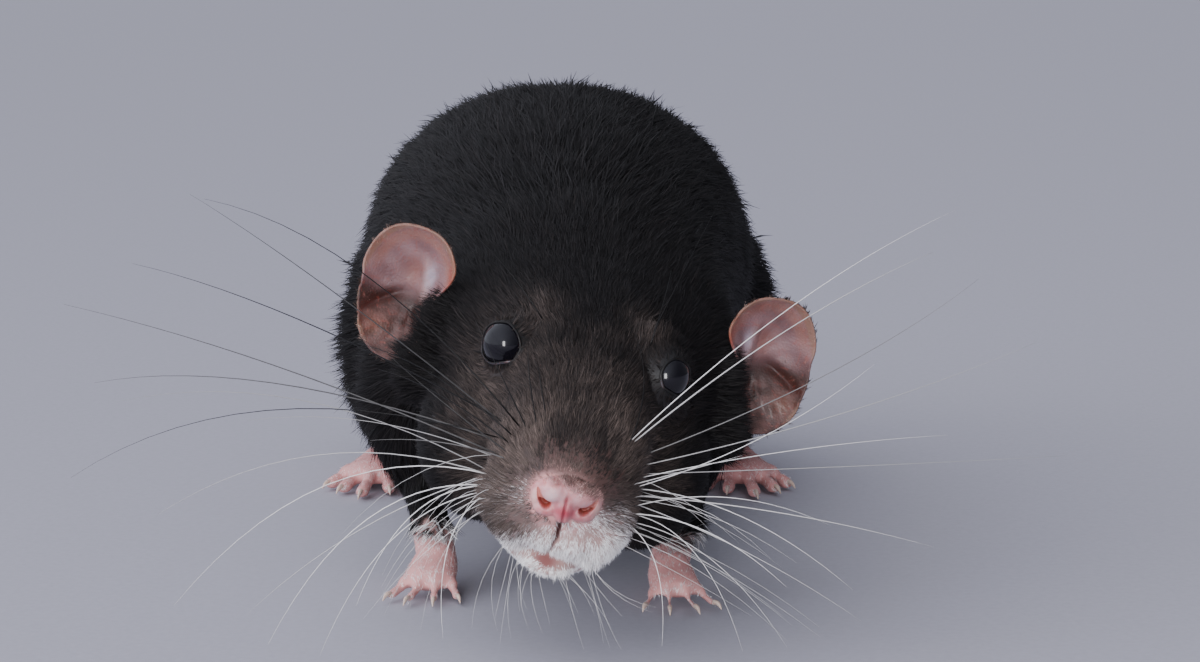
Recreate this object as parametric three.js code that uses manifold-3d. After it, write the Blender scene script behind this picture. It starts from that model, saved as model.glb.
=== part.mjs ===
// A life-size domestic rat standing on all fours, its head low and tilted, its tail laid on the ground.
// Millimetres, +Z up. The rat faces -Y and its left side is +X. The outer surface is that of its short coat.
import * as THREE from "three";
import { mergeVertices } from "three/addons/utils/BufferGeometryUtils.js";
import Module from "manifold-3d";

const wasm = await Module();
wasm.setup();

// Driving dimensions
const GAP = 0.3; // clearance between neighbouring pieces
const GROUND = 0; // level of the soles and of the tail's underside

const NOSE_TIP = new THREE.Vector3(3, -112, 27);
const HEAD_PITCH = 14; // degrees that the nose points below level
const HEAD_YAW = -1.5; // degrees that the nose turns to the left side
const HEAD_TILT = 12; // degrees that the crown leans to the left side
const SNOUT_LENGTH = 24; // from the nose tip to the joint with the head
const HEAD_LENGTH = 54; // from the nose tip to the neck

const EYE_RADIUS = 3.5;
const EYE_CENTRE = { side: 11.7, back: 30, up: 8.5 }; // from the nose tip, in the head's own frame
const EYE_FACING = { side: 0.8, back: -0.42, up: 0.42 };
const LID = { radius: 3.35, thickness: 0.65, proud: 0.38 }; // proud: as a share of the eye's radius

const EAR = { halfWidth: 8.0, halfHeight: 11.6, depth: 5.2, wall: 1.1 };
const EAR_CENTRE = { side: 28.8, back: 47, up: 6.7 };
const EAR_OPENING = { side: 0.3, back: -0.9, up: 0.22 };

// Rounded lumps of the muzzle, each a centre in the head's frame and three half sizes
const NOSE_WING = { side: 2.25, back: 2.1, up: -0.4, half: [2.65, 2.5, 3.1] };
const NOSE_BRIDGE = { side: 0, back: 2.6, up: 0.2, half: [2.4, 2.6, 3.0] };
const NOSTRIL_INNER = { side: 2.5, back: 0, up: -1.3, half: [1.0, 1.5, 0.75] };
const NOSTRIL_OUTER = { side: 3.7, back: 0.7, up: -0.3, half: [0.55, 1.5, 1.25] };
const NOSE_CLEFT = { side: 0, back: -0.5, up: -1.9, half: [0.35, 1.1, 2.6] };
const WHISKER_PAD = { side: 5.8, back: 11.2, up: -6.2, half: [5.3, 7.6, 6.8] };
const CHEEK = { side: 11, back: 36, up: -9, half: [11, 15.5, 12] };
const PAD_SPLIT = 6.2; // distance from the midline at which a whisker pad begins

// Whiskers: rows from the top of the pad to the lip, columns from the nose back; angles in degrees
const WHISKER = {
  rows: 4,
  columns: 4,
  radius: 0.34, // at the root
  longest: 84,
  lowest: 3, // height above the ground at which a drooping tip is held
  sunk: 2.2, // how deep the root lies in the pad
  firstBack: 7.5,
  columnStep: 3.3,
  firstLevel: 14,
  rowStep: 20,
};

const TAIL_PIECES = 4;
const TAIL_ROOT_RADIUS = 6.2;
const TAIL_TIP_RADIUS = 1.2;

const X = new THREE.Vector3(1, 0, 0);
const Y = new THREE.Vector3(0, 1, 0);
const Z = new THREE.Vector3(0, 0, 1);
const SIDES = { left: 1, right: -1 };

const COATS = {
  black_fur: { color: 0x2a2524, roughness: 0.85 },
  muzzle_fur: { color: 0x5d5450, roughness: 0.9 },
  white_fur: { color: 0xd8d0cb, roughness: 0.9 },
  pink_skin: { color: 0xdc9c98, roughness: 0.55 },
  ear_skin: { color: 0xb9857a, roughness: 0.6 },
  tail_skin: { color: 0x6f5a55, roughness: 0.7 },
  eye: { color: 0x0a0a0d, roughness: 0.05 },
};

// Solids and geometries

function solidOf(geometry) {
  const bare = new THREE.BufferGeometry();
  bare.setAttribute("position", geometry.getAttribute("position"));
  bare.setIndex(geometry.getIndex());
  const merged = mergeVertices(bare, 1e-4);
  return new wasm.Manifold(
    new wasm.Mesh({
      numProp: 3,
      vertProperties: new Float32Array(merged.attributes.position.array),
      triVerts: new Uint32Array(merged.index.array),
    }),
  );
}

function largest(solid) {
  return solid.decompose().reduce((a, b) => (b.volume() > a.volume() ? b : a));
}

function geometryOf(solid) {
  const mesh = largest(solid).getMesh();
  const geometry = new THREE.BufferGeometry();
  geometry.setAttribute("position", new THREE.BufferAttribute(mesh.vertProperties, mesh.numProp));
  geometry.setIndex(new THREE.BufferAttribute(mesh.triVerts, 1));
  geometry.computeVertexNormals();
  return geometry;
}

const join = (...solids) => solids.reduce((a, b) => a.add(b));
const cut = (solid, ...others) => others.reduce((a, b) => a.subtract(b), solid);
const keep = (solid, normal, offset) => solid.trimByPlane(normal, offset);

// A closed skin over rings that all have the same number of points, with a fan over each end.
function skinOver(rings) {
  const count = rings[0].length;
  const points = rings.flat();
  const faces = [];
  for (let i = 0; i + 1 < rings.length; i++) {
    for (let j = 0; j < count; j++) {
      const a = i * count + j;
      const b = i * count + ((j + 1) % count);
      faces.push(a, a + count, b, b, a + count, b + count);
    }
  }
  for (const [ring, flip] of [[0, false], [rings.length - 1, true]]) {
    const middle = rings[ring].reduce((sum, p) => sum.add(p), new THREE.Vector3()).divideScalar(count);
    points.push(middle);
    for (let j = 0; j < count; j++) {
      const a = ring * count + j;
      const b = ring * count + ((j + 1) % count);
      faces.push(...(flip ? [b, a, points.length - 1] : [a, b, points.length - 1]));
    }
  }
  const geometry = new THREE.BufferGeometry().setFromPoints(points);
  geometry.setIndex(faces);
  return geometry;
}

// A rounded form along a smooth line. Each row is a place on it: x, y, z, half width, rise and drop.
class Form {
  constructor(rows, { sideways = () => X, square = 2, sides = 20 } = {}) {
    this.centres = new THREE.CatmullRomCurve3(rows.map(([x, y, z]) => new THREE.Vector3(x, y, z)));
    this.sizes = new THREE.CatmullRomCurve3(
      rows.map(([, , , width, rise, drop]) => new THREE.Vector3(width, rise, drop ?? rise)),
    );
    Object.assign(this, { sideways, square, sides });
  }

  // The point of the surface at share t of the line and angle a, counted from the left side upwards.
  point(t, angle, grow = 0) {
    const along = this.centres.getTangent(t);
    const side = this.sideways(t).clone().addScaledVector(along, -this.sideways(t).dot(along)).normalize();
    const up = new THREE.Vector3().crossVectors(side, along);
    const size = this.sizes.getPoint(t);
    const round = (value) => Math.sign(value) * Math.abs(value) ** (2 / this.square);
    const height = Math.sin(angle) > 0 ? size.y : size.z;
    return this.centres
      .getPoint(t)
      .addScaledVector(side, (Math.max(size.x, 0.05) + grow) * round(Math.cos(angle)))
      .addScaledVector(up, (Math.max(height, 0.05) + grow) * round(Math.sin(angle)));
  }

  ring(t, grow) {
    const turn = (2 * Math.PI) / this.sides;
    return Array.from({ length: this.sides }, (_, i) => this.point(t, i * turn, grow));
  }

  // The solid from share a to share b, in the given number of steps.
  solid(steps, { from = 0, to = 1, grow = 0 } = {}) {
    const rings = [];
    for (let i = 0; i <= steps; i++) rings.push(this.ring(from + ((to - from) * i) / steps, grow));
    return solidOf(skinOver(rings));
  }

  gapShare() {
    return GAP / this.centres.getLength();
  }
}

// An ellipsoid about a place in the head's frame, on the left side (1) or the right (-1)
function lump(place, side, segments, grow = 0) {
  const geometry = new THREE.SphereGeometry(1, segments, Math.round(segments * 0.6));
  geometry.scale(...place.half.map((half) => half + grow));
  geometry.translate(...inHead(place, side));
  return solidOf(geometry);
}

// The head's own frame: its origin is the nose tip, +Y runs back to the neck and +Z to the crown.
const head = new THREE.Group();
head.position.copy(NOSE_TIP);
head.rotation.set(
  THREE.MathUtils.degToRad(HEAD_PITCH),
  THREE.MathUtils.degToRad(HEAD_TILT),
  THREE.MathUtils.degToRad(HEAD_YAW),
  "ZXY",
);
head.updateMatrixWorld(true);
const inHead = (place, side) => [side * place.side, place.back, place.up];
const headVector = (place, side) => new THREE.Vector3(...inHead(place, side));

const rat = new THREE.Group();
rat.add(head);

function addNode(group, name, solid, coat) {
  const material = new THREE.MeshStandardMaterial({ metalness: 0, ...COATS[coat] });
  const mesh = new THREE.Mesh(geometryOf(solid), material);
  mesh.name = name;
  group.add(mesh);
}

// Head and snout: distance back from the nose tip, half width, rise and drop
const skull = new Form(
  [
    [1.2, 3.4, 2.6, 4.0],
    [3.6, 6.1, 4.3, 10.0],
    [7.5, 9.0, 6.0, 12.6],
    [12, 10.7, 7.8, 13.8],
    [17.5, 11.7, 10.0, 14.6],
    [24, 12.8, 12.7, 16.0],
    [31, 15.2, 14.9, 17.8],
    [38, 19.0, 16.0, 20.0],
    [46, 22.9, 16.6, 22.4],
    [54, 25.0, 17.0, 24.0],
  ].map(([back, width, rise, drop]) => [0, back, 0, width, rise, drop]),
  { square: 2.15, sides: 26 },
);

// The share of the skull's line at a distance behind the nose tip
function shareAt(form, back) {
  let [low, high] = [0, 1];
  for (let i = 0; i < 30; i++) {
    const middle = (low + high) / 2;
    if (form.centres.getPoint(middle).y < back) low = middle;
    else high = middle;
  }
  return low;
}

const jaw = new Form(
  [
    [5.4, -12.6, 3.0, 1.6, 1.8],
    [8.5, -13.2, 5.2, 2.6, 2.8],
    [13, -13.7, 7.4, 3.2, 3.4],
    [18.5, -14.1, 9.2, 3.6, 3.8],
    [24, -14.6, 10.8, 4.0, 4.2],
  ].map(([back, up, width, rise, drop]) => [0, back, up, width, rise, drop]),
  { square: 2.1, sides: 16 },
);

function eyelids(side) {
  const facing = headVector(EYE_FACING, side).normalize();
  const rim = new THREE.TorusGeometry(LID.radius, LID.thickness, 5, 14);
  rim.applyQuaternion(new THREE.Quaternion().setFromUnitVectors(Z, facing));
  rim.translate(...headVector(EYE_CENTRE, side).addScaledVector(facing, EYE_RADIUS * LID.proud).toArray());
  return solidOf(rim);
}

const eyeball = (side, grow = 0) =>
  lump({ ...EYE_CENTRE, half: [EYE_RADIUS, EYE_RADIUS, EYE_RADIUS] }, side, 14, grow);

// The nose: two wings with a cleft between them, each with a comma-shaped nostril.
const noseBody = (grow = 0) =>
  join(lump(NOSE_WING, 1, 10, grow), lump(NOSE_WING, -1, 10, grow), lump(NOSE_BRIDGE, 1, 10, grow));

const nostril = (side) => join(lump(NOSTRIL_INNER, side, 8), lump(NOSTRIL_OUTER, side, 8));

// A whisker's line. It grows outwards from the pad, further back and longer with each column, then droops.
function whiskerPath(side, row, column) {
  const slant = 0.7 * row * (column / WHISKER.columns);
  const share = shareAt(skull, WHISKER.firstBack + WHISKER.columnStep * column + slant);
  const level = THREE.MathUtils.degToRad(WHISKER.firstLevel - WHISKER.rowStep * row);
  const root = skull.point(share, side > 0 ? level : Math.PI - level);
  const steep = THREE.MathUtils.degToRad(40 - 24 * row - 4 * column);
  const back = THREE.MathUtils.degToRad(-22 + 17 * column + 4 * row);
  const heading = new THREE.Vector3(
    side * Math.cos(steep) * Math.cos(back),
    Math.cos(steep) * Math.sin(back),
    Math.sin(steep),
  );
  const length = WHISKER.longest * (0.34 + 0.2 * column) * (1 - 0.19 * row);
  const bend = new THREE.Vector3(side * 0.08, 0.2, -0.18 + 0.05 * row).multiplyScalar(length);
  const tip = head.localToWorld(root.clone().addScaledVector(heading, length * 0.96).add(bend));
  tip.z = Math.max(tip.z, GROUND + WHISKER.lowest);
  return new THREE.QuadraticBezierCurve3(
    root.clone().addScaledVector(heading, -WHISKER.sunk),
    root.clone().addScaledVector(heading, length * 0.45),
    head.worldToLocal(tip),
  );
}

function whisker(side, row, column) {
  const path = whiskerPath(side, row, column);
  const steps = 5;
  const rings = [];
  for (let i = 0; i <= steps; i++) {
    const share = i / steps;
    const along = path.getTangent(share);
    const across = new THREE.Vector3().crossVectors(Z, along).normalize();
    const over = new THREE.Vector3().crossVectors(across, along);
    const radius = WHISKER.radius * (1 - 0.62 * share ** 1.4);
    const corner = (turn) =>
      path
        .getPoint(share)
        .addScaledVector(across, radius * Math.cos(turn))
        .addScaledVector(over, radius * Math.sin(turn));
    rings.push([0, 1, 2].map((k) => corner((k * 2 * Math.PI) / 3)));
  }
  return solidOf(skinOver(rings));
}

// Ear: a shallow oval bowl that opens forwards, on a stalk that grows from the side of the head.
function ear(side) {
  const profile = [];
  const steps = 5;
  const inside = (r) => -EAR.depth * (1 - r ** 2.2);
  for (let i = 0; i <= steps; i++) {
    const r = i / steps;
    profile.push(new THREE.Vector2(r, inside(r) - EAR.wall * Math.sqrt(1 - r ** 4)));
  }
  for (let i = steps - 1; i >= 0; i--) profile.push(new THREE.Vector2((i / steps) * 0.96, inside(i / steps)));
  const dish = new THREE.LatheGeometry(profile, 20);
  dish.scale(EAR.halfWidth, 1, EAR.halfHeight);
  const opening = headVector(EAR_OPENING, side).normalize();
  const crown = new THREE.Vector3(side * -0.05, 0.2, 1);
  const across = new THREE.Vector3().crossVectors(opening, crown).normalize();
  crown.crossVectors(across, opening);
  dish.applyMatrix4(new THREE.Matrix4().makeBasis(across, opening, crown));
  dish.translate(...inHead(EAR_CENTRE, side));
  const stalk = new Form(
    [
      [side * 16, 47, 1, 4.4, 5.6],
      [side * 21, 48, 2.5, 4.6, 6.0],
      [side * 26, 50.5, 5, 4.2, 5.2],
      [side * 29.5, 52.2, 7.5, 2.6, 3.2],
    ],
    { sideways: () => Y, sides: 12 },
  );
  const hollow = lump({ side: 30, back: 45.2, up: 6.5, half: [5.2, 4.4, 7.4] }, side, 10);
  return join(cut(stalk.solid(4), hollow), solidOf(dish));
}

function buildHead() {
  const neckSide = shareAt(skull, SNOUT_LENGTH);
  const joint = skull.gapShare();
  let back = join(skull.solid(11, { from: neckSide + joint }), lump(CHEEK, 1, 16), lump(CHEEK, -1, 16));
  back = join(back, eyelids(1), eyelids(-1));
  back = keep(back, [0, 1, 0], SNOUT_LENGTH + GAP);
  back = cut(back, eyeball(1, GAP), eyeball(-1, GAP));
  addNode(head, "head", back, "black_fur");

  let snout = join(skull.solid(11, { to: neckSide }), lump(WHISKER_PAD, 1, 14), lump(WHISKER_PAD, -1, 14));
  snout = cut(snout, jaw.solid(8, { grow: GAP }), noseBody(GAP));
  snout = keep(snout, [0, -1, 0], -SNOUT_LENGTH);
  const bridge = keep(keep(snout, [1, 0, 0], GAP / 2 - PAD_SPLIT), [-1, 0, 0], GAP / 2 - PAD_SPLIT);
  addNode(head, "snout", bridge, "muzzle_fur");
  addNode(head, "lower_jaw", keep(jaw.solid(8), [0, -1, 0], -SNOUT_LENGTH), "white_fur");
  addNode(head, "nose", cut(noseBody(), nostril(1), nostril(-1), lump(NOSE_CLEFT, 1, 8)), "pink_skin");

  for (const [name, side] of Object.entries(SIDES)) {
    let pad = snout;
    for (let row = 0; row < WHISKER.rows; row++)
      for (let column = 0; column < WHISKER.columns; column++) pad = pad.add(whisker(side, row, column));
    pad = keep(pad, [side, 0, 0], PAD_SPLIT + GAP / 2);
    pad = cut(pad, lump(CHEEK, side, 16, GAP));
    addNode(head, `whisker_pad_${name}`, pad, "muzzle_fur");
    addNode(head, `eye_${name}`, eyeball(side), "eye");
    const neckCutter = neckSolid(GAP).transform(head.matrixWorld.clone().invert().elements);
    addNode(head, `ear_${name}`, cut(ear(side), skull.solid(24, { grow: GAP }), neckCutter), "ear_skin");
  }
}

const TRUNK_FRONT = -41;
// Trunk: how far its line leans to the left, distance along the body, height, half width, rise and drop
const trunk = new Form(
  [
    [3.2, TRUNK_FRONT - 7, 42.6, 25.4, 20.2, 23.6],
    [2.6, TRUNK_FRONT, 42.9, 26.1, 21.6, 24.6],
    [1.7, -30, 43.4, 27.3, 23.9, 26.4],
    [0.7, -13, 44, 29.9, 27.2, 29.4],
    [0, 8, 44, 33.0, 30.2, 32.4],
    [0, 30, 43, 35.2, 32.6, 33.6],
    [0, 50, 40, 34.2, 31.4, 31.6],
    [0, 66, 35, 29.4, 25.8, 26.6],
    [0, 79, 28.2, 21.2, 17.4, 19.0],
    [0, 88, 22.2, 12.4, 10.6, 12.4],
    [0, 97, 16.2, 6.8, 6.6, 6.8],
  ],
  { square: 2.1, sides: 26 },
);

// The neck runs from the head's last ring, in the head's own frame, to the trunk's first.
const headSide = X.clone().transformDirection(head.matrixWorld);
const headBack = Y.clone().transformDirection(head.matrixWorld);
const onHead = (back) => head.localToWorld(new THREE.Vector3(0, back, 0));
const neck = new Form(
  [
    [...onHead(HEAD_LENGTH - 2).toArray(), 24.8, 16.9, 23.8],
    [...onHead(HEAD_LENGTH + 4).toArray(), 25.3, 18.0, 23.9],
    [3.2, TRUNK_FRONT - 6, 42.6, 25.6, 20.4, 23.8],
    [2.4, TRUNK_FRONT + 3, 42.9, 26.3, 22.0, 24.9],
  ],
  { sideways: (t) => headSide.clone().lerp(X, t), square: 2.12, sides: 26 },
);

// The neck between its two flat ends: a gap short of the head and trunk, or grown by a gap as a cutter
function neckSolid(grow) {
  const start = headBack.dot(onHead(HEAD_LENGTH)) + (grow ? -GAP : GAP);
  return keep(
    keep(neck.solid(7, { grow }), headBack.toArray(), start),
    [0, -1, 0],
    (grow ? -1 : 1) * GAP - TRUNK_FRONT,
  );
}

// Tail: a place on its line and the share of its root's thickness there
const TAIL_ROOT = { along: 95, height: 17.4, slope: THREE.MathUtils.degToRad(33) };
const tail = new Form(
  [
    [0, 92, 19.4, 1.02],
    [0.8, 106, 10.6, 0.95],
    [3, 119, 6.2, 0.88],
    [9, 140, 4.6, 0.76],
    [18, 162, 3.9, 0.65],
    [28, 184, 3.3, 0.54],
    [35, 207, 2.7, 0.42],
    [34, 231, 2.1, 0.29],
    [25, 252, 1.3, 0.17],
    [20, 259, 0.9, 0.1],
  ].map(([x, y, z, share]) => {
    const radius = TAIL_TIP_RADIUS * 0.6 + (TAIL_ROOT_RADIUS - TAIL_TIP_RADIUS * 0.6) * share;
    return [x, y, z, radius, radius, radius];
  }),
  { sides: 10 },
);

function buildTrunk() {
  const joints = [0, 0.33, 0.63, 1];
  const names = ["chest", "belly", "rump"];
  const gap = trunk.gapShare();
  const rootAxis = [0, Math.cos(TAIL_ROOT.slope), -Math.sin(TAIL_ROOT.slope)];
  const rootOffset = rootAxis[1] * TAIL_ROOT.along + rootAxis[2] * TAIL_ROOT.height;
  names.forEach((name, i) => {
    const solid = trunk.solid(7, { from: joints[i] + (i ? gap : 0), to: joints[i + 1] });
    const backwards = rootAxis.map((value) => -value);
    const behindNeck = keep(solid, [0, 1, 0], TRUNK_FRONT);
    addNode(rat, name, keep(behindNeck, backwards, GAP / 2 - rootOffset), "black_fur");
  });
  addNode(rat, "neck", neckSolid(0), "black_fur");

  const tailGap = tail.gapShare();
  for (let i = 0; i < TAIL_PIECES; i++) {
    const length = tail.solid(7, { from: i / TAIL_PIECES + tailGap, to: (i + 1) / TAIL_PIECES });
    const piece = keep(length, rootAxis, rootOffset + GAP / 2);
    addNode(rat, `tail_${i + 1}`, keep(piece, [0, 0, 1], GROUND), "tail_skin");
  }
}

// A toe or finger: a bent, padded form with a curved claw at its end.
function digit(base, heading, length, radius) {
  const at = (share, height) => {
    const p = base.clone().addScaledVector(heading, length * share);
    return [p.x, p.y, height];
  };
  const across = new THREE.Vector3().crossVectors(heading, Z).multiplyScalar(-1);
  const low = radius * 0.72;
  const flesh = new Form(
    [
      [...at(-0.3, base.z), radius * 0.9, radius * 0.9],
      [...at(0.2, base.z + radius * 0.2), radius, radius],
      [...at(0.55, low + radius * 0.5), radius * 0.85, radius * 0.85],
      [...at(0.85, low), radius, radius * 0.95],
      [...at(1, low), radius * 0.5, radius * 0.5],
    ],
    { sideways: () => across, sides: 6 },
  );
  const claw = new Form(
    [
      [...at(0.82, low + radius * 0.35), radius * 0.45, radius * 0.5],
      [...at(1.08, low + radius * 0.5), radius * 0.36, radius * 0.42],
      [...at(1.28, low - radius * 0.1), radius * 0.14, radius * 0.16],
    ],
    { sideways: () => across, sides: 4 },
  );
  return join(flesh.solid(4), claw.solid(2));
}

function foot(sole, centre, facing, digits) {
  const forward = new THREE.Vector3(Math.sin(facing), -Math.cos(facing), 0);
  const right = new THREE.Vector3(Math.cos(facing), Math.sin(facing), 0);
  const place = (side, ahead, up) =>
    centre.clone().addScaledVector(right, side).addScaledVector(forward, ahead).setZ(up);
  const rows = sole.map(([ahead, up, ...size]) => [...place(0, ahead, up).toArray(), ...size]);
  let made = new Form(rows, { sideways: () => right, sides: 12 }).solid(7);
  for (const { side, ahead, up, splay, length, radius } of digits) {
    const heading = forward.clone().applyAxisAngle(Z, THREE.MathUtils.degToRad(-splay));
    made = made.add(digit(place(side, ahead, up), heading, length, radius));
  }
  return keep(made, [0, 0, 1], GROUND);
}

// Fore leg: shoulder and upper arm, forearm, and a hand of four fingers
const FORE_REACH = { left: -3, right: 3 }; // the left hand stands a little ahead

function buildForeLeg(name, side) {
  const shift = FORE_REACH[name];
  const arm = new Form(
    [
      [side * 18, -30, 47, 5, 10],
      [side * 21, -33, 39, 8.5, 15],
      [side * 23.2, -32, 29, 9.0, 13.5],
      [side * 23.2, -28, 21, 7.4, 9.5],
      [side * 22.4, -25, 15, 4.4, 5.5],
    ],
    { sideways: () => X, sides: 16 },
  );
  const forearm = new Form(
    [
      [side * 22.5, -26 + shift / 2, 19, 5.2, 6.0],
      [side * 21.5, -31 + shift / 2, 15.5, 5.4, 6.0],
      [side * 20, -38 + shift, 11, 4.2, 4.6],
      [side * 19, -43 + shift, 7.6, 3.3, 3.5],
      [side * 18.6, -47 + shift, 5.6, 3.2, 3.0],
    ],
    { sideways: () => X, sides: 14 },
  );
  const chestCutter = join(trunk.solid(24, { grow: GAP }), neckSolid(GAP));
  const upperArm = cut(arm.solid(8), chestCutter);
  addNode(rat, `upper_arm_${name}`, upperArm, "black_fur");
  const lower = cut(forearm.solid(7), chestCutter, arm.solid(8, { grow: GAP }));
  addNode(rat, `forearm_${name}`, lower, "black_fur");

  const hand = foot(
    [
      [-3.4, 5.2, 2.2, 2.0, 2.2],
      [-1, 4.2, 3.6, 2.6, 4.2],
      [2.5, 3.2, 4.4, 2.4, 4.2],
      [6, 2.6, 4.3, 2.0, 3.4],
      [8, 2.3, 3.0, 1.4, 2.4],
    ],
    new THREE.Vector3(side * 18.4, -49 + shift, 0),
    THREE.MathUtils.degToRad(side * 8),
    [-3.2, -1.1, 1.1, 3.2].map((place) => ({
      side: place,
      ahead: 6.4 - Math.abs(place) * 0.45,
      up: 2.3,
      splay: place * -7,
      length: 7.6 - Math.abs(place) * 0.5,
      radius: 1.15,
    })),
  );
  addNode(rat, `forefoot_${name}`, cut(hand, forearm.solid(7, { grow: GAP })), "pink_skin");
}

// Hind leg: haunch, shank, and a long foot of five toes
function buildHindLeg(name, side) {
  const haunch = new Form(
    [
      [side * 19, 68, 48, 4, 8],
      [side * 24, 63, 42, 10.5, 19],
      [side * 26.5, 55, 34, 12.8, 23],
      [side * 28.5, 45, 26, 12.0, 20.5],
      [side * 30, 36, 19, 9.6, 14.5],
      [side * 30.5, 29.5, 14.5, 6.2, 9.0],
      [side * 30.5, 26.5, 12.6, 2.4, 3.4],
    ],
    { sideways: () => X, sides: 20 },
  );
  const shank = new Form(
    [
      [side * 30, 38, 14.5, 6.5, 6.0],
      [side * 30.5, 46, 13, 7.0, 7.0],
      [side * 31, 55, 10.8, 6.0, 6.0],
      [side * 31, 63, 8.4, 4.4, 4.6],
      [side * 31, 67.5, 6.6, 3.4, 3.4],
    ],
    { sideways: () => X, sides: 14 },
  );
  const trunkCutter = trunk.solid(24, { grow: GAP });
  addNode(rat, `thigh_${name}`, cut(haunch.solid(10), trunkCutter), "black_fur");
  const lower = cut(shank.solid(7), trunkCutter, haunch.solid(10, { grow: GAP }));
  addNode(rat, `shank_${name}`, lower, "black_fur");

  const hindFoot = foot(
    [
      [-5, 5.2, 2.4, 2.6, 3.6],
      [-1, 4.0, 3.8, 3.4, 5.0],
      [8, 3.2, 4.2, 2.6, 4.0],
      [17, 2.9, 5.0, 2.4, 3.8],
      [24, 2.6, 5.6, 2.2, 3.4],
      [27.5, 2.3, 4.4, 1.4, 2.4],
    ],
    new THREE.Vector3(side * 31.2, 64, 0),
    THREE.MathUtils.degToRad(side * 7),
    [-4.4, -2.3, 0, 2.3, 4.4].map((place) => ({
      side: place,
      ahead: 25.5 - Math.abs(place) * 0.95,
      up: 2.5,
      splay: place * -6,
      length: 10.5 - Math.abs(place) * 0.75,
      radius: 1.35,
    })),
  );
  const clear = cut(hindFoot, shank.solid(7, { grow: GAP }), haunch.solid(10, { grow: GAP }));
  addNode(rat, `hind_foot_${name}`, clear, "pink_skin");
}

buildHead();
buildTrunk();
for (const [name, side] of Object.entries(SIDES)) {
  buildForeLeg(name, side);
  buildHindLeg(name, side);
}

// The origin is the middle of the whole model's underside.
const middle = new THREE.Box3().setFromObject(rat, true).getCenter(new THREE.Vector3()).setZ(GROUND);
for (const child of rat.children) child.position.sub(middle);

export default rat;
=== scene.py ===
"""Dresses a still, life-size domestic rat: one skin under a coat of fine locks, with its eyes, ears,
nose, whiskers and claws, on a plain pale floor. Shapes are worked out in millimetres and made in metres."""
import math

import bpy
import numpy as np
from mathutils import Matrix, Vector
from mathutils.bvhtree import BVHTree


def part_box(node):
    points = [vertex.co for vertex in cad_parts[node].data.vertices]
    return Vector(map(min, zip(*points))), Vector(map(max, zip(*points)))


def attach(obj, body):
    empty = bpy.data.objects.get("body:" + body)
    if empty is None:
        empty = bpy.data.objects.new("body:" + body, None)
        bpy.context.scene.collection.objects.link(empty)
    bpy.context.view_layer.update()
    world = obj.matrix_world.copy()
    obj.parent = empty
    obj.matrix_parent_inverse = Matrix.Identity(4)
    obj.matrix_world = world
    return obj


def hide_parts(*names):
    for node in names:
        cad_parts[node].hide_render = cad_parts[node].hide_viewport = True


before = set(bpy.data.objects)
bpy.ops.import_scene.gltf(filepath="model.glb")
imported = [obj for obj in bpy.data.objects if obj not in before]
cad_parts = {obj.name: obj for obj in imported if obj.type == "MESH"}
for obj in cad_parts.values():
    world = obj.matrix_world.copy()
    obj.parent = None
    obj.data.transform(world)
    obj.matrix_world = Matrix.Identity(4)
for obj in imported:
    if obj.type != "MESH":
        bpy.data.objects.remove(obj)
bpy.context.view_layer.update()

bl_info = {
    "name": "Domestic rat",
    "version": (1, 0, 0),
    "blender": (4, 5, 0),
    "location": "3D View > Sidebar > Rat",
    "description": "Dresses a still domestic rat with skin, coat, eyes, ears, nose, whiskers and claws",
    "category": "Object",
}

MM = 0.001
BODY = "root"
SIDES = {"left": 1, "right": -1}
SEED = 11

# The head's own frame: its origin is the nose tip, +y runs back to the neck, +x to the rat's left, +z up
HEAD_PITCH, HEAD_YAW, HEAD_TILT = 14.0, -1.5, 12.0  # degrees
EYE_RADIUS = 3.5
CORNEA_SWELL = 0.16
EYE_CENTRE = (11.7, 30.0, 8.5)
EYE_FACING = (0.66, -0.6, 0.45)
EAR_CENTRE = (27.7, 47.0, 6.4)
EAR_OPENING = (0.3, -0.9, 0.22)
NOSE_TIP_IN_SOURCE = (3.0, -112.0, 27.0)  # where the part's source has the nose before it centres the model

LOOK_DOWN = 8.0  # degrees by which the camera looks down on the nose
VIEW_DISTANCE = 450.0  # from the camera to the nose
FRAME_WIDTH = 1200  # in points, each POINT_SIZE wide at the nose
POINT_SIZE = 0.137
FRAME_MIDDLE = (33, 169)  # from the nose, across and up, in points

# Distance back from the nose tip, half width, rise and drop of the head
SKULL_ROWS = [
    (1.2, 3.4, 2.6, 4.0),
    (3.6, 6.1, 4.3, 10.0),
    (7.5, 9.0, 6.0, 12.6),
    (12, 10.7, 7.8, 13.8),
    (17.5, 11.7, 10.0, 14.6),
    (24, 12.8, 12.7, 16.0),
    (31, 15.2, 14.9, 17.8),
    (38, 19.0, 16.0, 20.0),
    (46, 22.9, 16.6, 22.4),
    (54, 25.0, 17.0, 24.0),
    (60, 25.6, 17.6, 24.0),
]


# Arithmetic on arrays of points


def unit(vectors):
    vectors = np.asarray(vectors, float)
    return vectors / np.maximum(np.linalg.norm(vectors, axis=-1, keepdims=True), 1e-9)


def ramp(low, high, values):
    """0 below low, 1 above high and smooth between them; the other way round where high is below low."""
    share = np.clip((np.asarray(values, float) - low) / (high - low), 0, 1)
    return share * share * (3 - 2 * share)


def bump_at(points, centre, radii):
    """1 at centre, falling to nothing at about twice the radii."""
    return np.exp(-(((points - np.array(centre)) / np.array(radii)) ** 2).sum(-1))


def distance_from(points, centre, stretch):
    """How far points lie from a centre, where each axis counts for less the more it is stretched."""
    return np.linalg.norm((points - centre) / stretch, axis=1)


def bumps(points, *rows):
    """The sum of several bumps, each given as its height, centre and radii."""
    return sum(height * bump_at(points, centre, radii) for height, centre, radii in rows)


def mix(a, b, share):
    share = np.asarray(share)[..., None]
    return np.asarray(a) * (1 - share) + np.asarray(b) * share


def mix_number(a, b, share):
    return a * (1 - share) + b * share


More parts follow.
